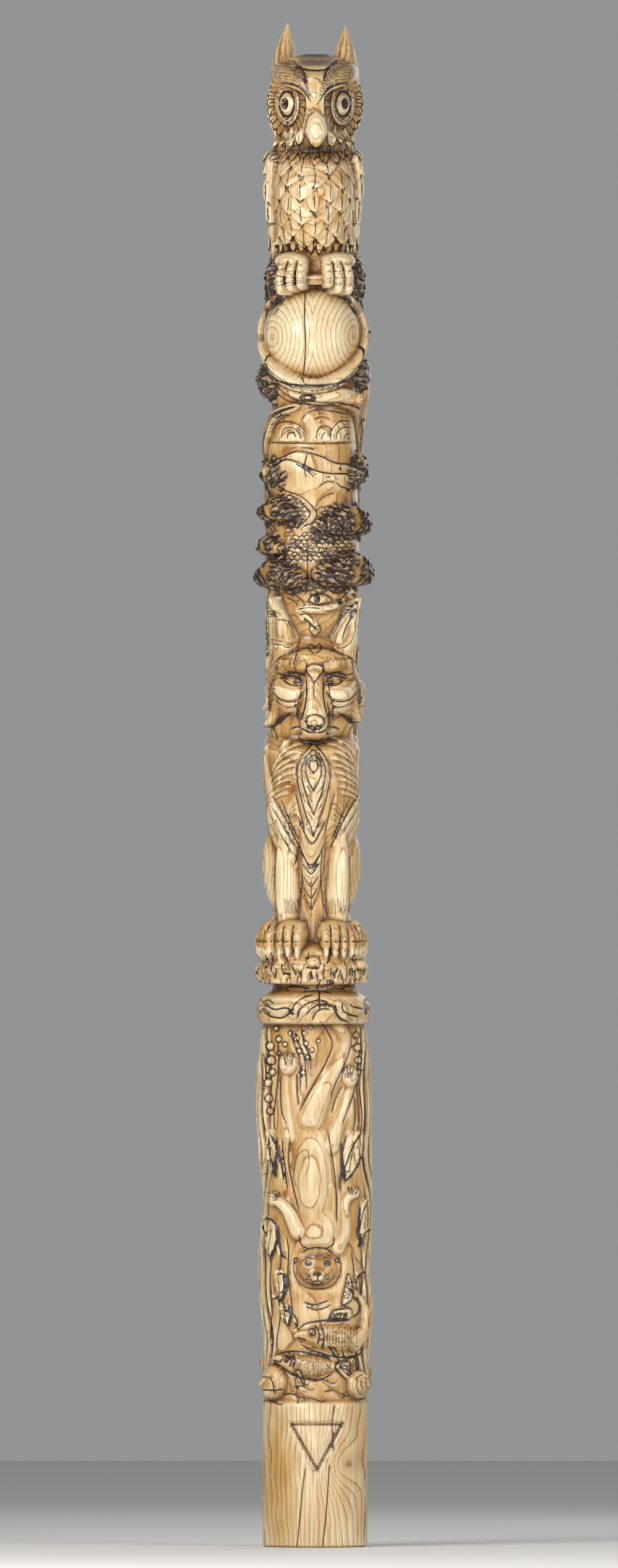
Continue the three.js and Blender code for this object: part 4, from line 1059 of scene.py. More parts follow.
            log.score(mirrored([(60, 2290), (68, 2316), (76, 2330), (88, 2350), (98, 2372)], side), 4, 7,
                0.9)
        log.tint(10, 2296, 44, 14, -1.0)


@dataclass
class WolfChest(Carving):
    """The mane: nested pointed ovals in the middle and locks of fur to each side."""

    title: str = "wolf chest"
    #: Each lock on one side: places (bearing, radius, z) and half-widths.
    locks: tuple = ((((76, 124, 2262), (60, 126, 2150), (38, 120, 2010), (30, 110, 1936)),
        (26, 28, 24, 6)), (((40, 128, 2286), (52, 130, 2220), (66, 128, 2150)), (10, 17, 6)),
        (((30, 130, 2250), (42, 134, 2190), (54, 132, 2120)), (9, 16, 6)),
        (((22, 134, 2150), (30, 134, 2100), (24, 128, 2046)), (8, 15, 6)),
        (((84, 124, 2270), (88, 125, 2200), (84, 124, 2110)), (20, 24, 8)),
        (((108, 128, 2290), (106, 130, 2190), (98, 128, 2080)), (20, 24, 8)),
        (((130, 136, 2240), (128, 140, 2150), (118, 132, 2050)), (16, 22, 8)),)
    #: Nested ovals: half-width, bottom, top and middle height.
    ovals: tuple = ((44, 2018, 2286, 2200), (31, 2080, 2270, 2204), (19, 2148, 2254, 2210),
        (8, 2200, 2236, 2222))

    def carve(self, log: Log) -> None:
        log.front_limb([(-6, 112, 2040), (-8, 96, 1930), (-10, 72, 1812)], (38, 30, 8), tone=0.2)
        for side in (-1, 1):
            slim = WOLF_SLIM if side > 0 else 0.0
            for line, widths in self.locks:
                log.limb([(side * b, r - slim, z) for b, r, z in line], widths, blend=3, tone=0.25)
        for half, low, high, middle in self.ovals:
            right = [(-4, high), (half * 0.62, (high + middle) / 2 + 8), (half, middle),
                (half * 0.6, (low + middle) / 2), (-6, low)]
            left = [(-8 - x, z) for x, z in right]
            log.panel([*right, *left[::-1][1:-1]], 2.2, 5, tone=0.5)
            log.strokes((right, left), 2.1, 3.6, 0.95, taper=0.02)
        log.tint(0, 2262, 140, 60, -0.5)
        for side in (-1, 1):
            log.tint(side * 84, 2180, 44, 90, -0.35)
            for i in range(9):
                z = 2300 - 20 * i
                inner = 28 + 5 * i - 4 * (i % 2)
                path = mirrored([(inner, z), (inner + 34, z - 8), (inner + 70, z - 34),
                    (inner + 88, z - 70)], side)
                log.ridge(log.on_front([(x, h + 6) for x, h in path]), 3.6, 0.9, tone=0.5)
                log.stroke(path, 1.0, 1.2, 0.6)
            for i in range(7):
                z = 2110 - 16 * i
                log.stroke(mirrored([(50, z + 8), (64, z - 2), (74, z - 22), (74, z - 44)], side), 1.1,
                    1.8, 0.6)
            lock = [(126, 2140), (96, 2092), (58, 2016), (48, 1986), (68, 1926), (100, 1972),
                (126, 2030), (134, 2090)]
            log.panel(mirrored(lock, side), 4.0, 4, tone=0.6)
            log.stroke(mirrored(lock[:6], side), 2.0, 4.5, 0.8, taper=0.05)
            for i in range(6):
                log.stroke(mirrored([(6, 2140 - 24 * i), (24, 2168 - 24 * i)], side), 1.8, 2.5, 0.6)
            long = (((128, 2110), (96, 2056), (54, 1986)), ((130, 2084), (98, 2024), (60, 1962)),
                ((128, 2052), (100, 1996), (66, 1944)), ((100, 2130), (66, 2050), (44, 2008)),
                ((58, 2150), (40, 2080), (28, 2030)))
            for line in long:
                log.stroke(mirrored(line, side), 2.2, 4.5, 0.85)
            for i in range(8):
                b = side * (82 + 10 * i)
                log.score([(b, 2270 - 5 * i), (b + side * 4, 2190), (b - side * 2, 2100)], 2.0, 4, 0.7)
        for z in (1940, 1915, 1878, 1845, 1815):
            half = 30 - (1940 - z) * 0.09
            log.stroke([(-12 - half, z + 34), (-12, z), (-12 + half, z + 34)], 2.1, 4, 0.95, step=4)
        log.strokes((((-52, 2080), (-30, 2030), (-8, 2001), (14, 2030), (36, 2080)),
            ((-52, 2010), (-30, 1960), (-12, 1930), (10, 1960), (30, 2010))), 2.3, 4.5, 0.95)


@dataclass
class WolfLegs(Carving):
    """Forelegs, haunches, paws with claws, and the tail that lies behind them."""

    title: str = "wolf legs"
    #: Each paw: place across the front, reach forward, and its half-width.
    paws: tuple = ((-77, 108, 47), (60, 108, 47), (-130, 56, 34), (110, 56, 31))

    def carve(self, log: Log) -> None:
        log.knob(-74, 72, 1900, (31, 44, 190), blend=8, tone=0.65)
        log.knob(60, 72, 1900, (31, 44, 190), blend=8, tone=0.65)
        for side in (-1, 1):
            slim = WOLF_SLIM if side > 0 else 0.0
            log.lump(side * 106, 104 - slim, 1930, (66, 48, 126), side * -8, blend=6, tone=0.25)
            log.limb(mirrored([(122, 112 - slim, 1860), (104, 102 - slim, 1790), (80, 112 - slim, 1745)],
                side), (22, 20, 26), tone=0.1)
            for i in range(5):
                b = side * (92 + 9 * i)
                log.score([(b, 2030 - 10 * i), (b + side * 6, 1950), (b - side * 3, 1850)], 3.2, 3, 0.5)
        log.lump(180, 110, 1980, (90, 52, 250), blend=8)
        log.limb([(-150, 140, 1700), (-120, 142, 1650), (-84, 144, 1630), (-58, 148, 1652),
            (-46, 148, 1690)], (18, 24, 26, 20, 6), tone=0.1)
        for x, forward, half in self.paws:
            self.paw(log, x, forward, half)
        for x in (-76, 58):
            for i in range(-3, 4):
                log.stroke([(x + 8 * i, 1842 + 6 * (i % 2)), (x + 9 * i, 1796)], 1.2, 2.5, 0.6)
            for edge, lean in ((-35, -6), (35, 4)):
                log.stroke([(x + edge, 2000), (x + edge + lean, 1900), (x + edge * 0.85, 1800)], 3.4, 7,
                    0.6)
        log.stroke([(-10, 1905), (-11, 1850), (-9, 1780)], 2, 3, 0.8)

    def paw(self, log: Log, x: float, forward: float, half: float) -> None:
        """One paw: knuckles, toes and long pale claws."""
        bearing = math.degrees(math.atan2(x, forward))
        radius = math.hypot(x, forward)
        log.lump(bearing, radius - 12, 1744, (half + 3, 40, 40), blend=4, tone=-0.5)
        spread = half * 0.23
        for i in range(4):
            around = bearing + (i - 1.5) * spread
            log.limb([(around, radius - 4, 1768), (around, radius + 16, 1738),
                (around, radius + 21, 1712)], (10, 13, 12), blend=2, tone=-0.45)
            log.limb([(around, radius + 22, 1708), (around, radius + 25, 1690),
                (around, radius + 20, 1668)], (8, 7, 2), blend=1, tone=0.9)
            log.score([(around - 3, 1722), (around + 3, 1722)], 3, 2.5, 0.7, step=3)
            if i < 3:
                middle = around + spread / 2
                log.score([(middle, 1776), (middle, 1735), (middle, 1690)], 2.6, 6, 0.9)


@dataclass
class Ledge(Carving):
    """The mossy ledge with mushrooms, the narrow neck and the collar of curling lobes."""

    title: str = "ledge"

    def carve(self, log: Log) -> None:
        pick = log.random.uniform
        moss = ease((log.z[:, None] - 1604) / 6) * ease((1706 - log.z[:, None]) / 16)
        log.radius += moss * (6 * log.noise(26, 34, 3) + 3.5 * log.noise(12, 18, 4))
        for _ in range(260):
            bearing, z = pick(-180, 180), pick(1612, 1694)
            lean = pick(-4, 4)
            log.score([(bearing, z), (bearing + lean, z - pick(16, 34))], 2.8, 3.2, pick(0.4, 0.8))
        for bearing, radius, z, size in ((-2, 156, 1662, 19), (56, 152, 1654, 17), (-30, 150, 1640, 13)):
            log.lump(bearing, radius - 8, z - size * 1.5, (size * 0.42, size * 0.7, size * 1.4), blend=1,
                tone=0.3)
            log.lump(bearing, radius, z, (size, size, size * 0.85), blend=1, tone=0.05)
            edge = curve([(bearing - size / 2.4, z - size * 0.6), (bearing, z - size * 0.75),
                (bearing + size / 2.4, z - size * 0.6)], 3)
            log.groove(edge, 3, 4, 0.9)
        log.lump(-80, 146, 1624, (28, 24, 24), blend=2, tone=0.2)
        for turn in (20, 13, 6):
            log.score(knot(-80, 1624, turn, 5.8), 2.6, 3, 0.8, step=4)
        neck = ease((1602 - log.z[:, None]) / 4) * ease((log.z[:, None] - 1570) / 6)
        log.tone += neck * 0.3
        log.cut *= 1 - 0.5 * neck
        for i in range(14):
            start = -180 + 27 * i
            z = 1578 + 6 * (i % 3)
            log.score([(start, z), (start + 20, z + 5), (start + 40, z - 3)], 2.4, 3, 0.9)
        self.collar(log)

    def collar(self, log: Log) -> None:
        """Lobes that curl over the water, with flowing lines."""
        for bearing, radius, z, width, height, lean in ((-42, 158, 1528, 50, 17, 8),
                (-20, 170, 1524, 17, 24, 20), (26, 168, 1526, 18, 30, -26), (52, 150, 1530, 26, 20, 0),
                (-88, 148, 1530, 40, 28, 10), (92, 144, 1528, 40, 28, -10), (136, 148, 1530, 42, 26, 0),
                (-136, 148, 1530, 42, 26, 0), (180, 150, 1530, 44, 26, 0)):
            log.lump(bearing, radius - 4, z, (width, 18, height), lean, blend=4, tone=0.15)
        log.strokes([[(-155, 1528), (-128, 1510), (-95, 1506), (-70, 1520), (-50, 1512)],
            [(-150, 1548), (-118, 1530), (-84, 1534), (-60, 1524)],
            [(-65, 1504), (-66, 1528), (-56, 1546), (-36, 1562), (0, 1574)],
            [(-50, 1500), (-46, 1526), (-20, 1548), (16, 1556), (44, 1548)],
            [(-30, 1508), (-10, 1532), (18, 1546), (50, 1540), (70, 1522)],
            [(-8, 1494), (0, 1518), (22, 1532), (48, 1528)], [(60, 1548), (58, 1526), (74, 1504),
            (104, 1490)], [(78, 1552), (80, 1530), (96, 1516), (128, 1508)],
            [(100, 1546), (112, 1536), (140, 1530)], [(8, 1605), (12, 1566), (14, 1524)]], 3.0, 4.2,
            0.85)
        for i in range(12):
            b = 66 + 20 * i
            log.score([(b, 1506 + 8 * (i % 2)), (b + 12, 1530), (b + 26, 1514)], 3, 4, 0.7)
            log.score([(b + 4, 1548), (b + 16, 1556), (b + 30, 1544)], 3, 3, 0.6)
        for turn in (18, 11, 5):
            log.score(knot(70, 1532, turn), 2.4, 2.6, 0.7, taper=0, step=4)


@dataclass
class Otter(Carving):
    """The otter, diving head down with its tail curled above."""

    title: str = "otter"

    def carve(self, log: Log) -> None:
        log.front_limb([(16, 132, 1522), (52, 128, 1494), (78, 120, 1440), (56, 116, 1366),
            (18, 112, 1290), (-8, 104, 1220)], (14, 22, 25, 30, 37, 44), blend=5, tone=0.5)
        log.knob(-4, 92, 1050, (62, 58, 205), blend=8, tone=0.6)
        log.knob(8, 92, 900, (70, 56, 90), blend=8, tone=0.45)
        for line, widths in ((((-76, 132, 1352), (-76, 124, 1290), (-66, 118, 1170)), (15, 25, 30)),
                (((98, 132, 1330), (74, 122, 1250), (42, 118, 1140)), (16, 25, 28)),
                (((-116, 146, 992), (-80, 140, 962), (-46, 130, 900)), (12, 18, 26)),
                (((109, 146, 1008), (84, 138, 980), (80, 126, 900), (60, 122, 850)), (13, 15, 22, 24))):
            log.front_limb(line, widths, blend=4, tone=0.45)
        for x, forward, z, size in ((-76, 116, 1374, (27, 22, 32)), (97, 100, 1338, (26, 22, 32)),
                (-118, 88, 990, (16, 16, 20)), (110, 94, 1008, (17, 16, 17))):
            log.knob(x, forward, z, size, blend=2, tone=0.4)
            for i in (-1.5, -0.5, 0.5, 1.5):
                top = z + size[2] * 1.1
                log.stroke([(x + i * 11, top), (x + i * 5, z - 8)], 1.5, 3.5, 0.8, step=4)
        self.outlines(log)
        log.tint(7, 712, 78, 20, -0.6)
        self.head(log)

    def outlines(self, log: Log) -> None:
        """Soft dark lines round the body, tail and limbs."""
        log.strokes([[(102, 1470), (104, 1430), (88, 1380), (60, 1320), (40, 1270)],
            [(6, 1508), (34, 1470), (50, 1430), (30, 1374), (4, 1330), (-30, 1270), (-50, 1232)],
            [(-70, 1180), (-76, 1100), (-62, 1020), (-42, 946)],
            [(34, 1200), (48, 1120), (61, 1020), (63, 905)], [(-98, 1352), (-100, 1300), (-96, 1240),
            (-78, 1190)], [(-52, 1350), (-52, 1300), (-46, 1252)],
            [(120, 1320), (102, 1262), (76, 1196)], [(80, 1316), (58, 1270), (46, 1230)],
            [(-46, 890), (-40, 860), (-20, 848)], [(56, 886), (52, 862), (34, 850)]], 2.8, 5.5, 0.7)
        log.stroke([(-40, 1000), (-60, 1050), (-52, 1110), (-24, 1130), (-18, 1090), (-34, 1040)], 2.2,
            1.2, 0.5)

    def head(self, log: Log) -> None:
        """The face, seen right way up, in a hollow of its own."""
        log.panel([(-68, 800), (-60, 850), (-20, 872), (30, 872), (74, 850), (86, 800), (66, 738),
            (7, 720), (-56, 738)], -6, 22, tone=0.2)
        log.knob(7, 92, 792, (64, 46, 53), blend=4, tone=-0.6)
        log.knob(7, 106, 776, (44, 38, 31), blend=8, tone=-0.3)
        log.knob(7, 132, 769, (25, 19, 18), blend=4, tone=0.9)
        log.stroke([(-62, 830), (-58, 774), (-30, 742), (7, 735), (44, 742), (72, 774), (76, 830)], 1.8,
            3, 0.9)
        log.stroke([(-44, 832), (-20, 848), (7, 852), (34, 848), (58, 832)], 2.8, 3, 0.8)
        for x, forward in ((-54, 96), (64, 92)):
            log.knob(x, forward, 816, (13, 14, 13), blend=1, tone=-0.2)
            log.ring(x, 816, 6, 2.6, 3, 0.9, step=3)
        for x in (-19, 35):
            log.knob(x, 122, 808, (10, 8, 7), blend=0, tone=-1.4)
            log.ring(x, 808, 11, 1.6, 2.0, 0.8, squash=0.7, step=3)
            log.stroke([(x - 5, 808), (x + 5, 808)], 4.6, 1, 1.0, taper=0, step=1)
            log.stroke([(x - 16, 818), (x, 825), (x + 16, 818)], 1.6, 2, 0.7, step=3)
        log.knob(7, 148, 778, (11, 7, 7), blend=0, tone=-0.9)
        log.stroke([(0, 778), (14, 778)], 6, 1, 1.0, taper=0, step=2)
        log.stroke([(7, 770), (7, 760)], 2.2, 2.5, 1.0, taper=0, step=2)
        for side in (-1, 1):
            log.stroke([(7, 760), (7 + side * 12, 756), (7 + side * 22, 764)], 2.4, 3, 0.9, step=3)
            for i in range(3):
                log.stroke([(7 + side * 16, 774 - 5 * i), (7 + side * 38, 780 - 9 * i)], 2.0, 1.5, 0.7,
                    step=4)


@dataclass
class Water(Carving):
    """Fluted water at the flanks and back, kelp leaves, ripples and bubbles."""

    title: str = "water"
    top: float = 1484.0
    bottom: float = 436.0
    spacing: float = 13.0
    #: Kelp: bearing and height of the point, radius of its bed, width, length and lean.
    kelp: tuple = ((-52, 1052, 46, 136, 4), (36, 1040, 60, 148, -14), (-56, 820, 56, 108, 0),
        (58, 850, 52, 140, -8), (-40, 700, 40, 88, 12), (-32, 630, 38, 62, 20))
    bubbles: tuple = ((-14, 1480, 6), (-30, 1462, 6), (-53, 1447, 7), (-26, 1432, 6), (-44, 1412, 7),
        (-20, 1394, 6), (-110, 1475, 7), (-104, 1444, 8), (-128, 1424, 11), (-126, 1384, 12),
        (-122, 1350, 9), (-134, 1320, 11), (-132, 1276, 11), (-128, 1240, 9), (-86, 1430, 6),
        (-70, 1462, 6), (-34, 1350, 6), (-104, 1404, 6), (10, 1440, 5), (-8, 1414, 5), (118, 1456, 8),
        (122, 1420, 10), (124, 1384, 9), (126, 1350, 6))

    def carve(self, log: Log) -> None:
        height = log.z[:, None]
        wet = ease((self.top - height) / 12) * ease((height - self.bottom) / 26)
        sway = 7 * np.sin(height / 88 + 0.6) + 4 * np.sin(height / 41) + 3 * log.noise(90, 160, 6)
        turn = np.abs(log.bearing)[None, :] + sway
        flank = ease((np.abs(log.bearing)[None, :] - 56 - 6 * np.sin(height / 120)) / 8) * wet
        phase = np.cos(np.radians(turn * 360.0 / self.spacing))
        log.radius += flank * 4.4 * (phase - 0.4)
        log.cut = np.maximum(log.cut, flank * 0.4 * ease((-phase - 0.4) / 0.5))
        share = turn / self.spacing - 0.5
        valley = (share - np.round(share)) * math.radians(self.spacing) * MEAN_RADIUS
        log.draw(np.ix_(*map(np.arange, valley.shape)), np.where(flank > 0.4, valley, FAR),
            2.0 * ease(flank * 1.6 - 0.6))
        log.tone += flank * (0.55 * phase - 0.1)
        log.tint(0, 620, 170, 190, 0.3)
        log.tint(0, 1340, 150, 190, 0.2)
        for x, z, size in self.bubbles:
            bearing = log.bearing_at(x, z)
            row = int(np.searchsorted(log.z, z))
            base = float(np.interp(bearing, log.bearing, log.radius[row]))
            log.ring(x, z, size + 1.5, 2.6, 2.5, 0.8, step=4)
            log.lump(bearing, base - size * 0.3, z, (size, size, size), blend=0, tone=0.5)
        self.streams(log)
        floor = log.radius.copy()
        for bearing, z, width, length, lean in self.kelp:
            log.feather(bearing, z, width, length, floor, 11, lean, 0.3, quill=3)
        self.leaves(log)

    def streams(self, log: Log) -> None:
        """Long lines of current between the figures."""
        log.strokes([[(-140, 1474), (-146, 1420), (-142, 1340), (-150, 1250), (-142, 1160)],
            [(-100, 1478), (-108, 1440), (-104, 1380), (-110, 1300), (-118, 1220), (-112, 1130),
            (-120, 1040)], [(-70, 1480), (-64, 1440), (-48, 1400), (-42, 1350), (-44, 1290)],
            [(-40, 1480), (-34, 1440), (-18, 1400), (-10, 1350)],
            [(-60, 1478), (-52, 1440), (-34, 1402), (-26, 1350), (-24, 1290)],
            [(-90, 1230), (-94, 1160), (-88, 1090), (-78, 1010)],
            [(128, 1480), (134, 1400), (128, 1310), (136, 1220), (126, 1140), (132, 1060)],
            [(112, 1300), (116, 1220), (104, 1150), (110, 1080), (104, 1040)],
            [(70, 1180), (76, 1110), (72, 1040), (76, 1000)], [(-104, 900), (-98, 820), (-108, 740),
            (-100, 660), (-110, 580), (-96, 540)], [(-84, 900), (-76, 840), (-78, 780), (-68, 700),
            (-62, 640)], [(-120, 860), (-128, 760), (-124, 660), (-132, 560)],
            [(104, 850), (112, 780), (106, 730), (120, 690)], [(130, 860), (136, 780), (132, 700)],
            [(-60, 640), (-50, 620), (-46, 600)], [(118, 560), (126, 520), (124, 500)],
            [(76, 560), (92, 530), (104, 508)], [(-36, 700), (0, 690), (44, 704)],
            [(-30, 686), (8, 676), (50, 690)]], 3.4, 3.6, 0.65)
        ripples = ((-120, 410), (-60, 430), (0, 418), (60, 440), (110, 424), (-30, 452), (30, 470))
        for x, z in ripples:
            log.stroke([(x - 40, z), (x - 10, z + 7), (x + 20, z - 4), (x + 36, z + 4)], 2.6, 2.6, 0.6)

    def leaves(self, log: Log) -> None:
        """Scalloped edges of the kelp beside the otter's head and body."""
        lines = [[(-137, 1187), (-120, 1150), (-104, 1100), (-95, 1042)],
            [(-137, 1187), (-138, 1140), (-128, 1090), (-112, 1050)],
            [(130, 1190), (100, 1140), (82, 1090), (70, 1042)], [(130, 1190), (132, 1140), (116, 1090),
            (84, 1046)], [(-158, 924), (-140, 940), (-120, 924), (-112, 880), (-100, 840), (-85, 820)],
            [(-158, 924), (-150, 900), (-142, 902), (-146, 880)],
            [(158, 910), (138, 900), (126, 872), (116, 858)], [(150, 997), (132, 960), (122, 900)],
            [(-120, 783), (-96, 782), (-86, 764), (-88, 745), (-104, 734)],
            [(-135, 712), (-112, 712), (-94, 692), (-97, 680), (-72, 672), (-57, 650), (-60, 632),
            (-76, 626)], [(140, 790), (118, 776), (112, 750), (120, 732)]]
        for line in lines:
            log.ridge(log.on_front(line), 6, 3.5, tone=0.6)
            log.stroke([(x + 6, z - 6) for x, z in line], 3.4, 4.5, 0.85)


@dataclass
class Fish(Carving):
    """Two fish with scales and fins over a pair of boulders."""

    title: str = "fish"

    def carve(self, log: Log) -> None:
        floor = log.radius.copy()
        log.front_limb([(100, 132, 588), (128, 146, 612), (138, 154, 650), (134, 152, 690),
            (114, 148, 722), (104, 148, 736)], (36, 26, 21, 15, 9, 6), blend=2, tone=-0.2)
        log.front_limb([(-54, 140, 602), (-34, 128, 604), (4, 116, 600), (50, 112, 596), (92, 120, 596),
            (124, 138, 616)], (7, 24, 40, 46, 42, 28), blend=1, tone=-0.2)
        log.front_limb([(-120, 146, 536), (-98, 138, 534), (-58, 122, 522), (-10, 118, 514),
            (34, 128, 514), (60, 140, 516)], (5, 18, 33, 35, 22, 9), blend=1, tone=-0.15)
        fins = ([(58, 522), (112, 540), (98, 504), (104, 464), (62, 504)],
            [(112, 728), (96, 778), (84, 736), (76, 690), (100, 700)],
            [(36, 642), (52, 673), (102, 678), (98, 648)], [(40, 570), (52, 556), (70, 528), (58, 562)],
            [(-58, 502), (-30, 462), (-34, 484), (-46, 504)])
        for fin in fins:
            log.panel(fin, 7, 6, tone=0.35)
            log.stroke([*fin, fin[0]], 2.6, 3, 0.9, taper=0)
        lifted = log.radius - floor > 4
        self.scales(log, ((26, 128), (560, 640)), 15, lifted)
        self.scales(log, ((-58, 56), (488, 546)), 12, lifted)
        for x, z, r in ((-8, 612, 9), (-84, 538, 8)):
            log.knob(x, math.sqrt(156 ** 2 - x * x), z, (r, 5, r), blend=0, tone=0.6)
            log.ring(x, z, r, 2.4, 2.4, 0.95, step=3)
            log.stroke([(x - 1, z), (x + 1, z)], 3.6, 2, 1.0, taper=0, step=1)
        log.strokes([[(12, 640), (24, 616), (26, 592), (18, 556)], [(0, 636), (12, 606), (6, 574)],
            [(-54, 598), (-36, 592), (-24, 590)], [(-64, 552), (-58, 530), (-66, 506)],
            [(-118, 532), (-104, 528), (-94, 530)], [(-74, 548), (-68, 530), (-76, 512)],
            [(-52, 584), (-20, 566), (20, 552), (64, 541), (120, 546), (152, 576)],
            [(-54, 612), (-34, 632), (0, 642), (50, 648), (100, 650)],
            [(104, 652), (120, 662), (128, 684), (118, 716)], [(-118, 528), (-90, 508), (-50, 484),
            (0, 476), (36, 486), (58, 504)], [(-118, 542), (-84, 556), (-40, 556), (0, 548), (56, 530)]],
            2.8, 4, 0.95)
        rays = [[(44 + 9 * i, 648), (54 + 8 * i, 670)] for i in range(6)]
        rays += [[(108 - 2 * i, 724 - 5 * i), (92 - 4 * i, 762 - 18 * i)] for i in range(4)]
        rays += [[(66, 518 - i), (104, 532 - 17 * i)] for i in range(4)]
        log.strokes(rays, 1.9, 2.4, 0.8, step=4)
        self.boulders(log)

    def scales(self, log: Log, box: tuple, size: float, body: Array) -> None:
        """Rows of round scales inside a box of x and z, where the fish's body stands proud."""
        (left, right), (low, high) = box
        for column, x in enumerate(np.arange(left, right, size * 0.56)):
            for z in np.arange(low + (column % 2) * size / 2, high, size):
                row = min(int(np.searchsorted(log.z, z)), len(log.z) - 1)
                place = int(np.argmin(np.abs(log.bearing - log.bearing_at(x, z))))
                if body[row, place]:
                    path = arc(x, z, size * 0.6, 118, 242, 1.0)
                    log.stroke(path, 0.9, 1.2, 0.75, taper=0.15, step=4)

    def boulders(self, log: Log) -> None:
        """The two boulders and the knots of the trunk behind the water."""
        for bearing, z, size in ((-54, 468, (48, 40, 50)), (56, 462, (44, 40, 41)),
                (90, 492, (26, 24, 26)), (-104, 522, (26, 24, 26))):
            log.lump(bearing, 140, z, size, blend=2, tone=-0.3)
        cells, _, _ = log.window(0, 468, 100, 56)
        rough = 4.5 * log.noise(22, 22, 21)[cells] + 3.0 * log.noise(9, 9, 22)[cells]
        log.radius[cells] += rough * ease((log.radius[cells] - 158) / 8)
        for bearing, z, size in ((56, 462, 30), (90, 492, 18), (-104, 522, 18)):
            for share in (1.0, 0.62, 0.3):
                log.score(knot(bearing, z, share * size), 1.6, 2.0, 0.6, taper=0)
        log.stroke([(-156, 452), (-120, 446), (-88, 452)], 3, 4, 0.8)
        log.stroke([(-140, 500), (-122, 470), (-116, 430)], 2.6, 3, 0.7)


@dataclass
class Foot(Carving):
    """The plain round foot with its cut triangle, knots and long cracks."""

    title: str = "foot"
    corners: tuple = ((-70, 354), (79, 354), (6, 222))

    def carve(self, log: Log) -> None:
        for i, corner in enumerate(self.corners):
            path = log.on_front([corner, self.corners[(i + 1) % 3]], 6)
            cells, signed, _ = log.near(path, 12.0)
            depth = ease((5.5 - np.abs(signed)) / 3.0)
            log.radius[cells] -= 5.0 * depth
            log.tone[cells] -= 0.55 * depth
            for edge in (-4.2, 4.2):
                log.draw(cells, np.where(np.abs(signed) < 12, signed - edge, FAR), 0.9)
        across, height = log.across(), log.z[:, None]
        whorl = np.exp(-((across - 62) / 52) ** 2 - ((height - 238) / 84) ** 2)
        rings = across * 0.85 + 60 * whorl + 9 * log.noise(120, 260, 51) + 4 * log.noise(50, 90, 52)
        low = (height < FOOT_TOP + 8) & (log.cosine > 0.2)
        log.grain = np.where(low, rings, log.grain)
        log.tone += 0.5 * ease((FOOT_TOP + 4 - height) / 8)
        log.tint(-110, 200, 40, 300, -0.25)
        log.strokes(([(-27, 230), (-34, 180), (-40, 120), (-46, 60), (-52, 0)],
            [(42, 240), (36, 150), (30, 70), (21, 0)], [(55, 408), (50, 340), (53, 270)],
            [(-60, 500), (-52, 440), (-48, 408)]), 1.8, 3.0, 0.95, taper=0.03, step=8)
        for bearing, start, end in ((70, 10, 300), (-98, 20, 260), (150, 0, 380), (-160, 40, 330)):
            log.score([(bearing, start), (bearing + 3, (start + end) / 2), (bearing, end)], 1.8, 3.0,
                0.9, taper=0.05, step=9)


# ---------------------------------------------------------------- colour and mesh
class Shade(Enum):
    """The wood's colours from pale to stained, and the leaves' dark stain with its painted highlight, as
    linear red, green and blue.
    """

    # pale wood; swellings are also pushed towards it as a painted highlight
    CREAM = (0.86, 0.73, 0.48)
    HONEY = (0.60, 0.37, 0.125)
    BROWN = (0.30, 0.14, 0.032)
    DARK = (0.022, 0.009, 0.004)
    LEAF = (0.024, 0.015, 0.010)
    # the painted highlight on the raised parts of the dark leaves
    LEAF_PAINTED_HIGHLIGHT = (0.38, 0.26, 0.155)


@dataclass(frozen=True)
class StainAndPaintedShade:
    """How the stain gathers, with painted shade and highlight: how far hollows darken, partly as stain
    and partly as painted shade, and how far swellings stay pale as a painted highlight.
    """

    # small and wide: how strongly hollows of a few millimetres and of a few centimetres darken and
    # swellings pale, partly stain and partly painted shade and painted highlight
    small: float = 0.26
    wide: float = 0.045
    steps: tuple = (-1.0, -0.35, 0.25, 1.0)
    shades: tuple = (Shade.DARK, Shade.BROWN, Shade.HONEY, Shade.CREAM)

    def colours(self, log: Log) -> Array:
        """The colour of every cell of the map.

        Args:
            log: the carved log.

        Returns:
            Linear red, green and blue, rows by columns by 3.
        """
        # Hollows darken and swellings pale: stain that gathers in the cuts, together with painted shade
        # in hollows and a painted highlight on raised edges.
        hollow = log.blurred(log.radius, 2, 2) - log.radius
        basin_shade = log.blurred(log.radius, 9, 7) - log.radius
        drift = 0.20 * log.noise(70, 190, 31) + 0.16 * log.noise(22, 50, 32)
        value = 0.24 + 0.72 * log.tone + drift
        value -= self.small * np.clip(hollow, -1.2, 2.4) + self.wide * np.clip(basin_shade, -5.0, 9.0)
        value = np.clip(value, -1.0, 1.0)
        bands = np.array([shade.value for shade in self.shades])
        colour = np.stack([np.interp(value, self.steps, bands[:, i]) for i in range(3)], -1)
        # Leaves take a painted highlight on their raised parts and painted shade in their hollows.
        light = np.clip(0.25 - 0.5 * hollow, 0, 1)[..., None]
        leaf = np.array(Shade.LEAF.value) * (1 - light) + np.array(Shade.LEAF_PAINTED_HIGHLIGHT.value) * light
        colour += log.leafy[..., None] * (leaf - colour)
        # The cut map darkens towards DARK: stain round the cuts, and painted shade along feather edges.
        cut = np.clip(log.cut, 0, 1)[..., None]
        return colour + cut * (np.array(Shade.DARK.value) - colour)


@dataclass
class Shell:
    """Part of the pole's surface as plain arrays, in millimetres.

    Attributes:
        places: one row per vertex.
        faces: one row of three or four vertex numbers per face.
        colour: linear red, green and blue per vertex.
        ring: the distance that growth rings are counted from, per vertex.
        line: signed distance to a dark line, plain distance and half-width, per vertex.
    """

    places: Array
    faces: list
    colour: Array
    ring: Array
    line: Array


def mesh_from(name: str, places: Array, faces: list) -> bpy.types.Mesh:
    """Makes a Blender mesh from arrays in millimetres."""
    mesh = bpy.data.meshes.new(name)
    mesh.from_pydata((places * MM).tolist(), [], faces)
    mesh.validate()
    return mesh


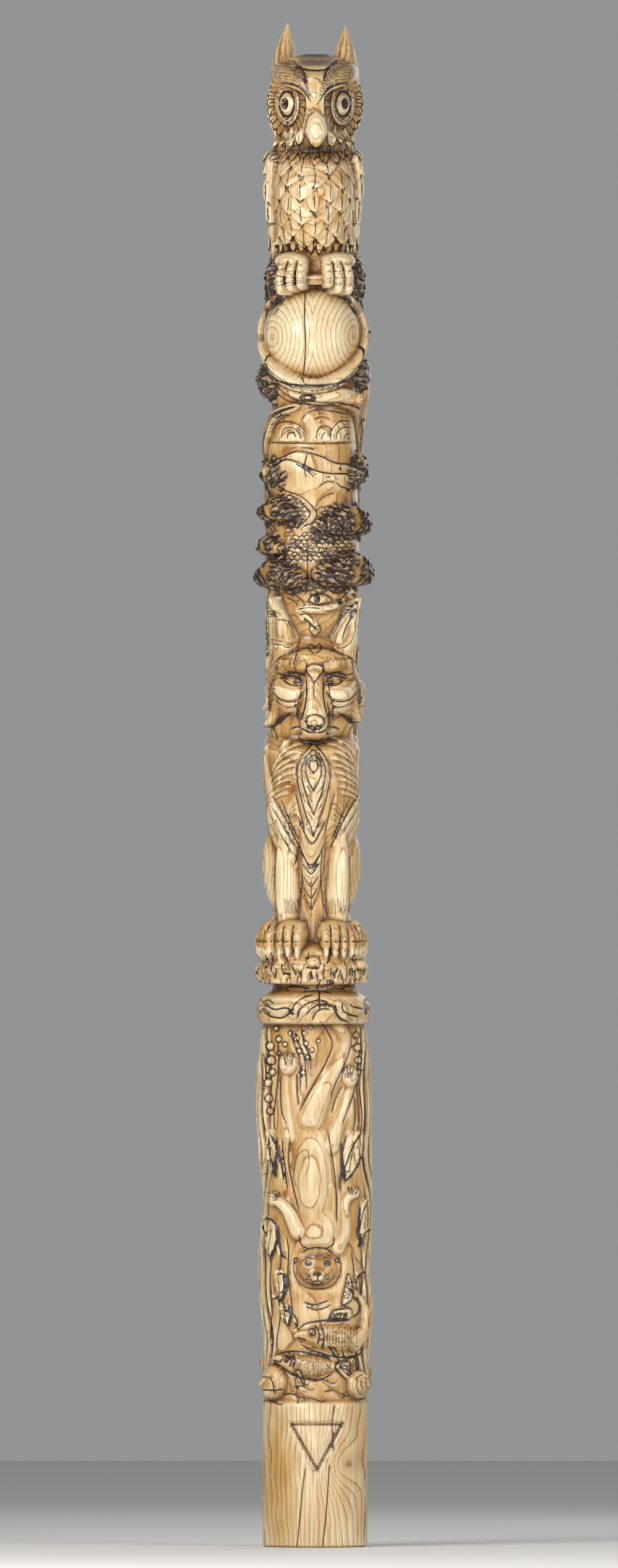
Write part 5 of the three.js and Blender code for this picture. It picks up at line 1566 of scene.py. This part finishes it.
def log_shell(log: Log, limit: int) -> Shell:
    """Turns the map into a closed surface, thinned to fewer triangles where it is plain.

    Args:
        log: the carved log.
        limit: the most triangles it may keep.

    Returns:
        The surface with its colours.
    """
    rows, columns = log.radius.shape
    x, y = log.radius * log.sine, -log.radius * log.cosine
    z = np.repeat(log.z[:, None], columns, 1)
    places = np.concatenate([np.stack([x, y, z], -1).reshape(-1, 3),
        [[0, 0, log.z[0]], [0, 0, log.z[-1]]]])
    low = np.arange(rows - 1)[:, None] * columns + np.arange(columns)
    ahead = np.arange(rows - 1)[:, None] * columns + (np.arange(columns) + 1) % columns
    quads = np.stack([low, ahead, ahead + columns, low + columns], -1).reshape(-1, 4).tolist()
    base, tip = rows * columns, rows * columns + 1
    last = (rows - 1) * columns
    caps = [[base, (i + 1) % columns, i] for i in range(columns)]
    caps += [[tip, last + i, last + (i + 1) % columns] for i in range(columns)]
    mesh = mesh_from("log_fine", places, quads + caps)
    fine = 2 * len(quads) + len(caps)
    carrier = bpy.data.objects.new("log_fine", mesh)
    show(carrier)
    if fine > limit:
        group = carrier.vertex_groups.new(name="plain")
        back = ease((np.abs(log.bearing) - BACK_FROM) / BACK_SPAN)[None, :]
        back = back * ease((z - FOOT_TOP) / 20)
        off_line = ease((log.line[..., 1] - 1.5) / 5)
        front_loss = FRONT_LOSS[0] + FRONT_LOSS[1] * off_line
        loss = front_loss * (1 - back) + (BACK_LOSS[0] + BACK_LOSS[1] * off_line) * back
        for i in range(1, 11):
            cells = np.flatnonzero(np.round(loss * 10).ravel() == i)
            group.add(cells.tolist(), 0.1 * i, "REPLACE")
        thin = carrier.modifiers.new("thin", "DECIMATE")
        thin.ratio = limit / fine
        thin.vertex_group = "plain"
        thin.vertex_group_factor = HOLD
    graph = bpy.context.evaluated_depsgraph_get()
    result = carrier.evaluated_get(graph).to_mesh()
    count = len(result.vertices)
    kept = np.empty(count * 3)
    result.vertices.foreach_get("co", kept)
    kept = kept.reshape(-1, 3) / MM
    faces = [list(face.vertices) for face in result.polygons]
    bpy.data.objects.remove(carrier)
    LOGGER.info("log surface: %d faces from %d triangles", len(faces), fine)
    return Shell(kept, faces, *read_maps(log, kept))


def read_maps(log: Log, places: Array) -> tuple[Array, Array, Array]:
    """Reads the colour, ring and line maps at places on the surface."""
    reach = np.hypot(places[:, 0], places[:, 1])
    bearing = np.degrees(np.arctan2(places[:, 0], -places[:, 1]))
    row = np.interp(places[:, 2], log.z, np.arange(len(log.z)))
    columns = len(log.bearing)
    column = np.interp(bearing, np.append(log.bearing, log.bearing[0] + 360.0), np.arange(columns + 1),
        period=None)
    i, j = np.floor(row).astype(int), np.floor(column).astype(int)
    v, u = (row - i), (column - j)
    below, above = np.clip(i, 0, len(log.z) - 1), np.clip(i + 1, 0, len(log.z) - 1)
    left, right = j % columns, (j + 1) % columns

    def read(values: Array) -> Array:
        a, b = (v[:, None], u[:, None]) if values.ndim == 3 else (v, u)
        low = values[below, left] * (1 - b) + values[below, right] * b
        high = values[above, left] * (1 - b) + values[above, right] * b
        return low * (1 - a) + high * a

    wander = 11 * log.noise(150, 420, 41) + 4 * log.noise(60, 170, 42)
    rings = np.hypot(log.radius * log.sine - 14, log.radius * log.cosine + 10) * 1.5 + wander
    rings = np.where(np.isnan(log.grain), rings, log.grain + 3 * log.noise(60, 90, 43))
    colour = read(StainAndPaintedShade().colours(log))
    ring = read(rings)
    ring[reach < 1.0] = 0.0
    return colour, ring, read(log.line)


def tuft_shell(side: int) -> Shell:
    """One ear tuft: a horn that sweeps up and back, with combed strands.

    Args:
        side: -1 for the left and 1 for the right.

    Returns:
        Its closed surface with its colours.
    """
    tip = (87, -76, 4324) if side > 0 else (-77, -76, 4331)
    line = curve([(side * 84, 30, 4150), (side * 88, -30, 4205), (side * 84, -58, 4256), tip], 3.5)
    share = np.linspace(0, 1, len(line))
    size = np.interp(share, (0, 0.33, 0.66, 1), (40, 36, 27, 1.2))
    spots, shade, ring = [], [], []
    sides = 44
    angle = np.linspace(0, math.tau, sides, endpoint=False)
    for i, (x, forward, z) in enumerate(line):
        nearby = line[min(i + 1, len(line) - 1)] - line[max(i - 1, 0)]
        along = np.array([nearby[0], -nearby[1], nearby[2]])
        along /= np.linalg.norm(along)
        out = np.array([x, -forward, 0.0])
        out /= max(np.linalg.norm(out), 1e-6)
        across = np.cross(along, out)
        across /= np.linalg.norm(across)
        rise = np.cross(across, along)
        comb = np.cos(angle * 11 + 1.4 * math.sin(i / 9.0)) * (1 - share[i]) ** 0.3
        reach = size[i] + 1.3 * np.minimum(comb, 0.3) * min(1.0, size[i] / 10)
        middle = np.array([x, -forward, z])
        spots.append(middle + np.outer(np.sin(angle) * reach, across)
            + np.outer(np.cos(angle) * reach, rise))
        pale = np.clip(0.45 + 0.4 * share[i] + 0.35 * comb, 0, 1)[:, None]
        brown, cream = np.array(Shade.BROWN.value), np.array(Shade.CREAM.value)
        honey = np.array(Shade.HONEY.value)
        shade.append(np.where(pale > 0.5, honey + (cream - honey) * (pale - 0.5) * 1.4,
            brown + (honey - brown) * pale * 2))
        ring.append(9.0 * np.sin(angle * 3))
    places = np.vstack([*spots, line[0] * (1, -1, 1), np.array([tip[0], -tip[1], tip[2]])])
    count = len(line)
    faces = [[i * sides + j, i * sides + (j + 1) % sides, (i + 1) * sides + (j + 1) % sides,
        (i + 1) * sides + j] for i in range(count - 1) for j in range(sides)]
    base = count * sides
    faces += [[base, (j + 1) % sides, j] for j in range(sides)]
    faces += [[base + 1, (count - 1) * sides + j, (count - 1) * sides + (j + 1) % sides]
        for j in range(sides)]
    colour = np.vstack([*shade, [Shade.BROWN.value], [Shade.CREAM.value]])
    line = np.tile([FAR, FAR, 0.0], (len(places), 1))
    return Shell(places, faces, colour, np.concatenate([*ring, [60.0], [0.0]]), line)


def hold_inside(log: Log, margin: float = 0.8) -> None:
    """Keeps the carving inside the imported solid's box, less a margin for the thinning."""
    low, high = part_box(NODE)
    across = np.where(log.sine > 0, high.x, -low.x) / MM / np.maximum(np.abs(log.sine), 1e-6)
    along = np.where(log.cosine > 0, -low.y, high.y) / MM / np.maximum(np.abs(log.cosine), 1e-6)
    room = np.minimum(across, along)[None, :] - margin
    over = int((log.radius > room).sum())
    log.radius = np.minimum(log.radius, room)
    LOGGER.info("held %d cells inside the frame's box", over)


class Wiring:
    """Adds the shader nodes of one material and joins them."""

    def __init__(self, material: bpy.types.Material) -> None:
        self.nodes, self.links = material.node_tree.nodes, material.node_tree.links

    def feed(self, node: bpy.types.Node, sockets: dict) -> bpy.types.Node:
        """Sets a node's sockets to values, or joins them to other nodes' outputs."""
        for name, value in sockets.items():
            if isinstance(value, bpy.types.NodeSocket):
                self.links.new(value, node.inputs[name])
            else:
                node.inputs[name].default_value = value
        return node

    def node(self, kind: str, sockets: dict) -> bpy.types.Node:
        """A shader node of one kind with its sockets fed."""
        return self.feed(self.nodes.new("ShaderNode" + kind), sockets)

    def attribute(self, name: str, output: str) -> bpy.types.NodeSocket:
        """What the mesh stores under a name."""
        node = self.nodes.new("ShaderNodeAttribute")
        node.attribute_name = name
        return node.outputs[output]

    def noise(self, place: bpy.types.NodeSocket, scale: float, detail: float):
        """Smooth noise at a place."""
        sockets = {"Vector": place, "Scale": scale, "Detail": detail}
        return self.node("TexNoise", sockets).outputs["Fac"]

    def maths(self, operation: str, first, second=0.0) -> bpy.types.NodeSocket:
        """A sum, product or the like of two sockets or numbers."""
        node = self.node("Math", {0: first, 1: second})
        node.operation = operation
        return node.outputs[0]

    def ramp(self, value, span: tuple, result: tuple) -> bpy.types.NodeSocket:
        """A clamped smooth step of a socket from one span of numbers to another."""
        names = ("Value", "From Min", "From Max", "To Min", "To Max")
        node = self.node("MapRange", dict(zip(names, (value, *span, *result))))
        node.interpolation_type = "SMOOTHSTEP"
        return node.outputs["Result"]

    def blend(self, kind: str, factor, first, second: tuple) -> bpy.types.NodeSocket:
        """Mixes a colour socket with a fixed colour by a factor."""
        node = self.nodes.new("ShaderNodeMix")
        node.data_type = "RGBA"
        node.blend_type = kind
        return self.feed(node, {"Factor": factor, "A": first, "B": second}).outputs["Result"]


@dataclass(frozen=True)
class Varnish:
    """The finish: varnished wood whose grain follows the log's rings."""

    roughness: float = 0.36
    coat: float = 0.35
    coat_roughness: float = 0.18
    grain: tuple = (0.44, 0.28, 0.12, 1.0)
    fibre_scale: tuple = (230.0, 230.0, 9.0)
    fibre_darkness: float = 0.30
    ring_spacing: float = 12.0
    ring_darkness: float = 0.20
    ring_line: float = 0.55
    ring_drift: float = 14.0
    line_edge: float = 0.8

    def material(self) -> bpy.types.Material:
        """Builds the material."""
        material = bpy.data.materials.new("varnished_wood")
        material.use_nodes = True
        wiring = Wiring(material)
        place = wiring.nodes.new("ShaderNodeTexCoord").outputs["Object"]
        stretch = wiring.node("Mapping", {"Vector": place, "Scale": self.fibre_scale})
        fibre = wiring.noise(stretch.outputs["Vector"], 1.0, 3.0)
        drift = wiring.maths("MULTIPLY", wiring.noise(place, 9.0, 2.0), self.ring_drift)
        total = wiring.maths("ADD", wiring.attribute("ring", "Fac"), drift)
        part = wiring.maths("FRACT", wiring.maths("DIVIDE", total, self.ring_spacing))
        soft = wiring.ramp(part, (0.25, 0.9), (0.0, self.ring_darkness))
        thin = wiring.ramp(part, (0.84, 0.93), (0.0, self.ring_line))
        threads = wiring.ramp(fibre, (0.35, 0.65), (self.fibre_darkness, 0.0))
        both = wiring.maths("ADD", wiring.maths("ADD", soft, thin), threads)
        cut = self.cut_line(wiring)
        wood = wiring.blend("MULTIPLY", both, wiring.attribute("wood_colour", "Color"), self.grain)
        height = wiring.maths("ADD", wiring.maths("MULTIPLY", both, 0.25), cut)
        bump = wiring.node("Bump", {"Height": height, "Strength": 0.5, "Distance": 0.002})
        bump.invert = True
        wiring.feed(wiring.nodes["Principled BSDF"], {"Base Color": wiring.blend("MIX", cut, wood,
            (*Shade.DARK.value, 1.0)), "Normal": bump.outputs["Normal"], "Roughness": self.roughness,
            "Coat Weight": self.coat, "Coat Roughness": self.coat_roughness,})
        return material

    def cut_line(self, wiring: Wiring) -> bpy.types.NodeSocket:
        """A socket that is 1 on the dark lines: near the signed zero and truly near a line."""
        parts = wiring.node("SeparateXYZ", {0: wiring.attribute("cut_line", "Vector")}).outputs
        room = wiring.maths("SUBTRACT", parts["Z"], wiring.maths("ABSOLUTE", parts["X"]))
        inside = wiring.ramp(room, (0.0, self.line_edge), (0.0, 1.0))
        near = wiring.ramp(parts["Y"], (4.0, 5.5), (1.0, 0.0))
        return wiring.maths("MULTIPLY", inside, near)


@dataclass
class TotemPole:
    """The whole pole as one piece."""

    figures: tuple = (Bark, OwlBody, OwlHead, Foliage, MoonAndWreath, OwlFeet, Landscape, TreeEye,
        WolfHead, WolfChest, WolfLegs, Ledge, Water, Otter, Fish, Foot)
    columns: int = 264
    step: float = 3.0
    triangles: int = 186000
    finish: Varnish = field(default_factory=Varnish)

    def sculpt(self) -> Log:
        """Carves every figure into a fresh log."""
        log = Log(self.columns, self.step)
        for figure in self.figures:
            figure().run(log)
        return log

    def build(self) -> bpy.types.Object:
        """Carves the pole and makes its piece."""
        log = self.sculpt()
        hold_inside(log)
        shells = [log_shell(log, self.triangles), tuft_shell(-1), tuft_shell(1)]
        faces, start = [], 0
        for shell in shells:
            faces.extend([[start + i for i in face] for face in shell.faces])
            start += len(shell.places)
        mesh = mesh_from("totem_pole_look", np.vstack([shell.places for shell in shells]), faces)
        colour = np.ones((len(mesh.vertices), 4), np.float32)
        colour[:, :3] = np.vstack([shell.colour for shell in shells])
        layer = mesh.color_attributes.new("wood_colour", "FLOAT_COLOR", "POINT")
        layer.data.foreach_set("color", colour.ravel())
        ring = mesh.attributes.new("ring", "FLOAT", "POINT")
        rings = np.concatenate([shell.ring for shell in shells]).astype(np.float32)
        ring.data.foreach_set("value", rings)
        line = mesh.attributes.new("cut_line", "FLOAT_VECTOR", "POINT")
        lines = np.vstack([shell.line for shell in shells]).astype(np.float32)
        line.data.foreach_set("vector", lines.ravel())
        mesh.shade_smooth()
        mesh.materials.append(self.finish.material())
        piece = bpy.data.objects.new("totem_pole_look", mesh)
        show(piece)
        LOGGER.info("pole: %d vertices, %d faces", len(mesh.vertices), len(mesh.polygons))
        return piece


# ---------------------------------------------------------------- studio
@dataclass(frozen=True)
class Lamp:
    """One soft area light: its name, place, target, size, power and colour."""

    name: str
    place: tuple
    target: tuple
    size: float
    power: float
    colour: tuple = (1.0, 1.0, 1.0)

    def add(self) -> None:
        """Puts the light in the scene."""
        light = bpy.data.lights.new(self.name, "AREA")
        light.size = self.size
        light.energy = self.power
        light.color = self.colour
        lamp = bpy.data.objects.new(self.name, light)
        lamp.location = self.place
        aim = Vector(self.target) - Vector(self.place)
        lamp.rotation_euler = aim.to_track_quat("-Z", "Y").to_euler()
        show(lamp)


@dataclass
class Studio:
    """A level view from the front, a pale floor and soft light."""

    view_height: float = 4.456
    view_middle: tuple = (-0.017, 2.168)
    lift: float = 1.0  # degrees that the view looks down
    lamps: tuple = (Lamp("key", (-3.2, -5.0, 5.2), (0, 0, 2.3), 2.6, 310.0, (1.0, 0.98, 0.94)),
        Lamp("fill", (4.2, -4.6, 2.6), (0, 0, 2.0), 3.2, 140.0, (1.0, 0.99, 0.96)),
        Lamp("low", (-1.2, -5.5, 0.9), (0, 0, 1.2), 2.4, 85.0, (1.0, 0.98, 0.94)),
        Lamp("back", (2.4, 4.2, 4.2), (0, 0, 2.4), 4.0, 60.0),)

    def camera(self) -> None:
        """Adds the camera before anything else."""
        data = bpy.data.cameras.new("camera")
        data.type = "ORTHO"
        data.ortho_scale = self.view_height
        data.clip_end = 60.0
        camera = bpy.data.objects.new("camera", data)
        away = 10.0
        x, z = self.view_middle
        tilt = math.radians(self.lift)
        camera.location = (x, -away * math.cos(tilt), z + away * math.sin(tilt))
        camera.rotation_euler = (math.radians(90.0) - tilt, 0.0, 0.0)
        show(camera)
        bpy.context.scene.camera = camera

    def set(self) -> None:
        """Adds the floor, the sky and the lights."""
        mesh = bpy.data.meshes.new("floor")
        half = 14.0
        mesh.from_pydata([(-half, -half, 0), (half, -half, 0), (half, half, 0), (-half, half, 0)], [],
            [(0, 1, 2, 3)])
        floor = bpy.data.objects.new("floor", mesh)
        paint = bpy.data.materials.new("pale_floor")
        paint.use_nodes = True
        surface = paint.node_tree.nodes["Principled BSDF"]
        surface.inputs["Base Color"].default_value = (0.72, 0.71, 0.69, 1.0)
        surface.inputs["Roughness"].default_value = 0.9
        mesh.materials.append(paint)
        show(floor)
        world = bpy.data.worlds.new("studio")
        world.use_nodes = True
        sky = world.node_tree.nodes["Background"]
        sky.inputs["Color"].default_value = (0.86, 0.87, 0.88, 1.0)
        sky.inputs["Strength"].default_value = 0.34
        bpy.context.scene.world = world
        bpy.context.scene.view_settings.view_transform = "Standard"
        for lamp in self.lamps:
            lamp.add()


def main() -> None:
    """Builds the scene round the frame."""
    logging.basicConfig(level=logging.INFO, format="%(message)s")
    studio = Studio()
    studio.camera()
    pole = TotemPole()
    piece = pole.build()
    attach(piece, BODY)
    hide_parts(NODE)
    studio.set()


if __name__ == "__main__":
    main()
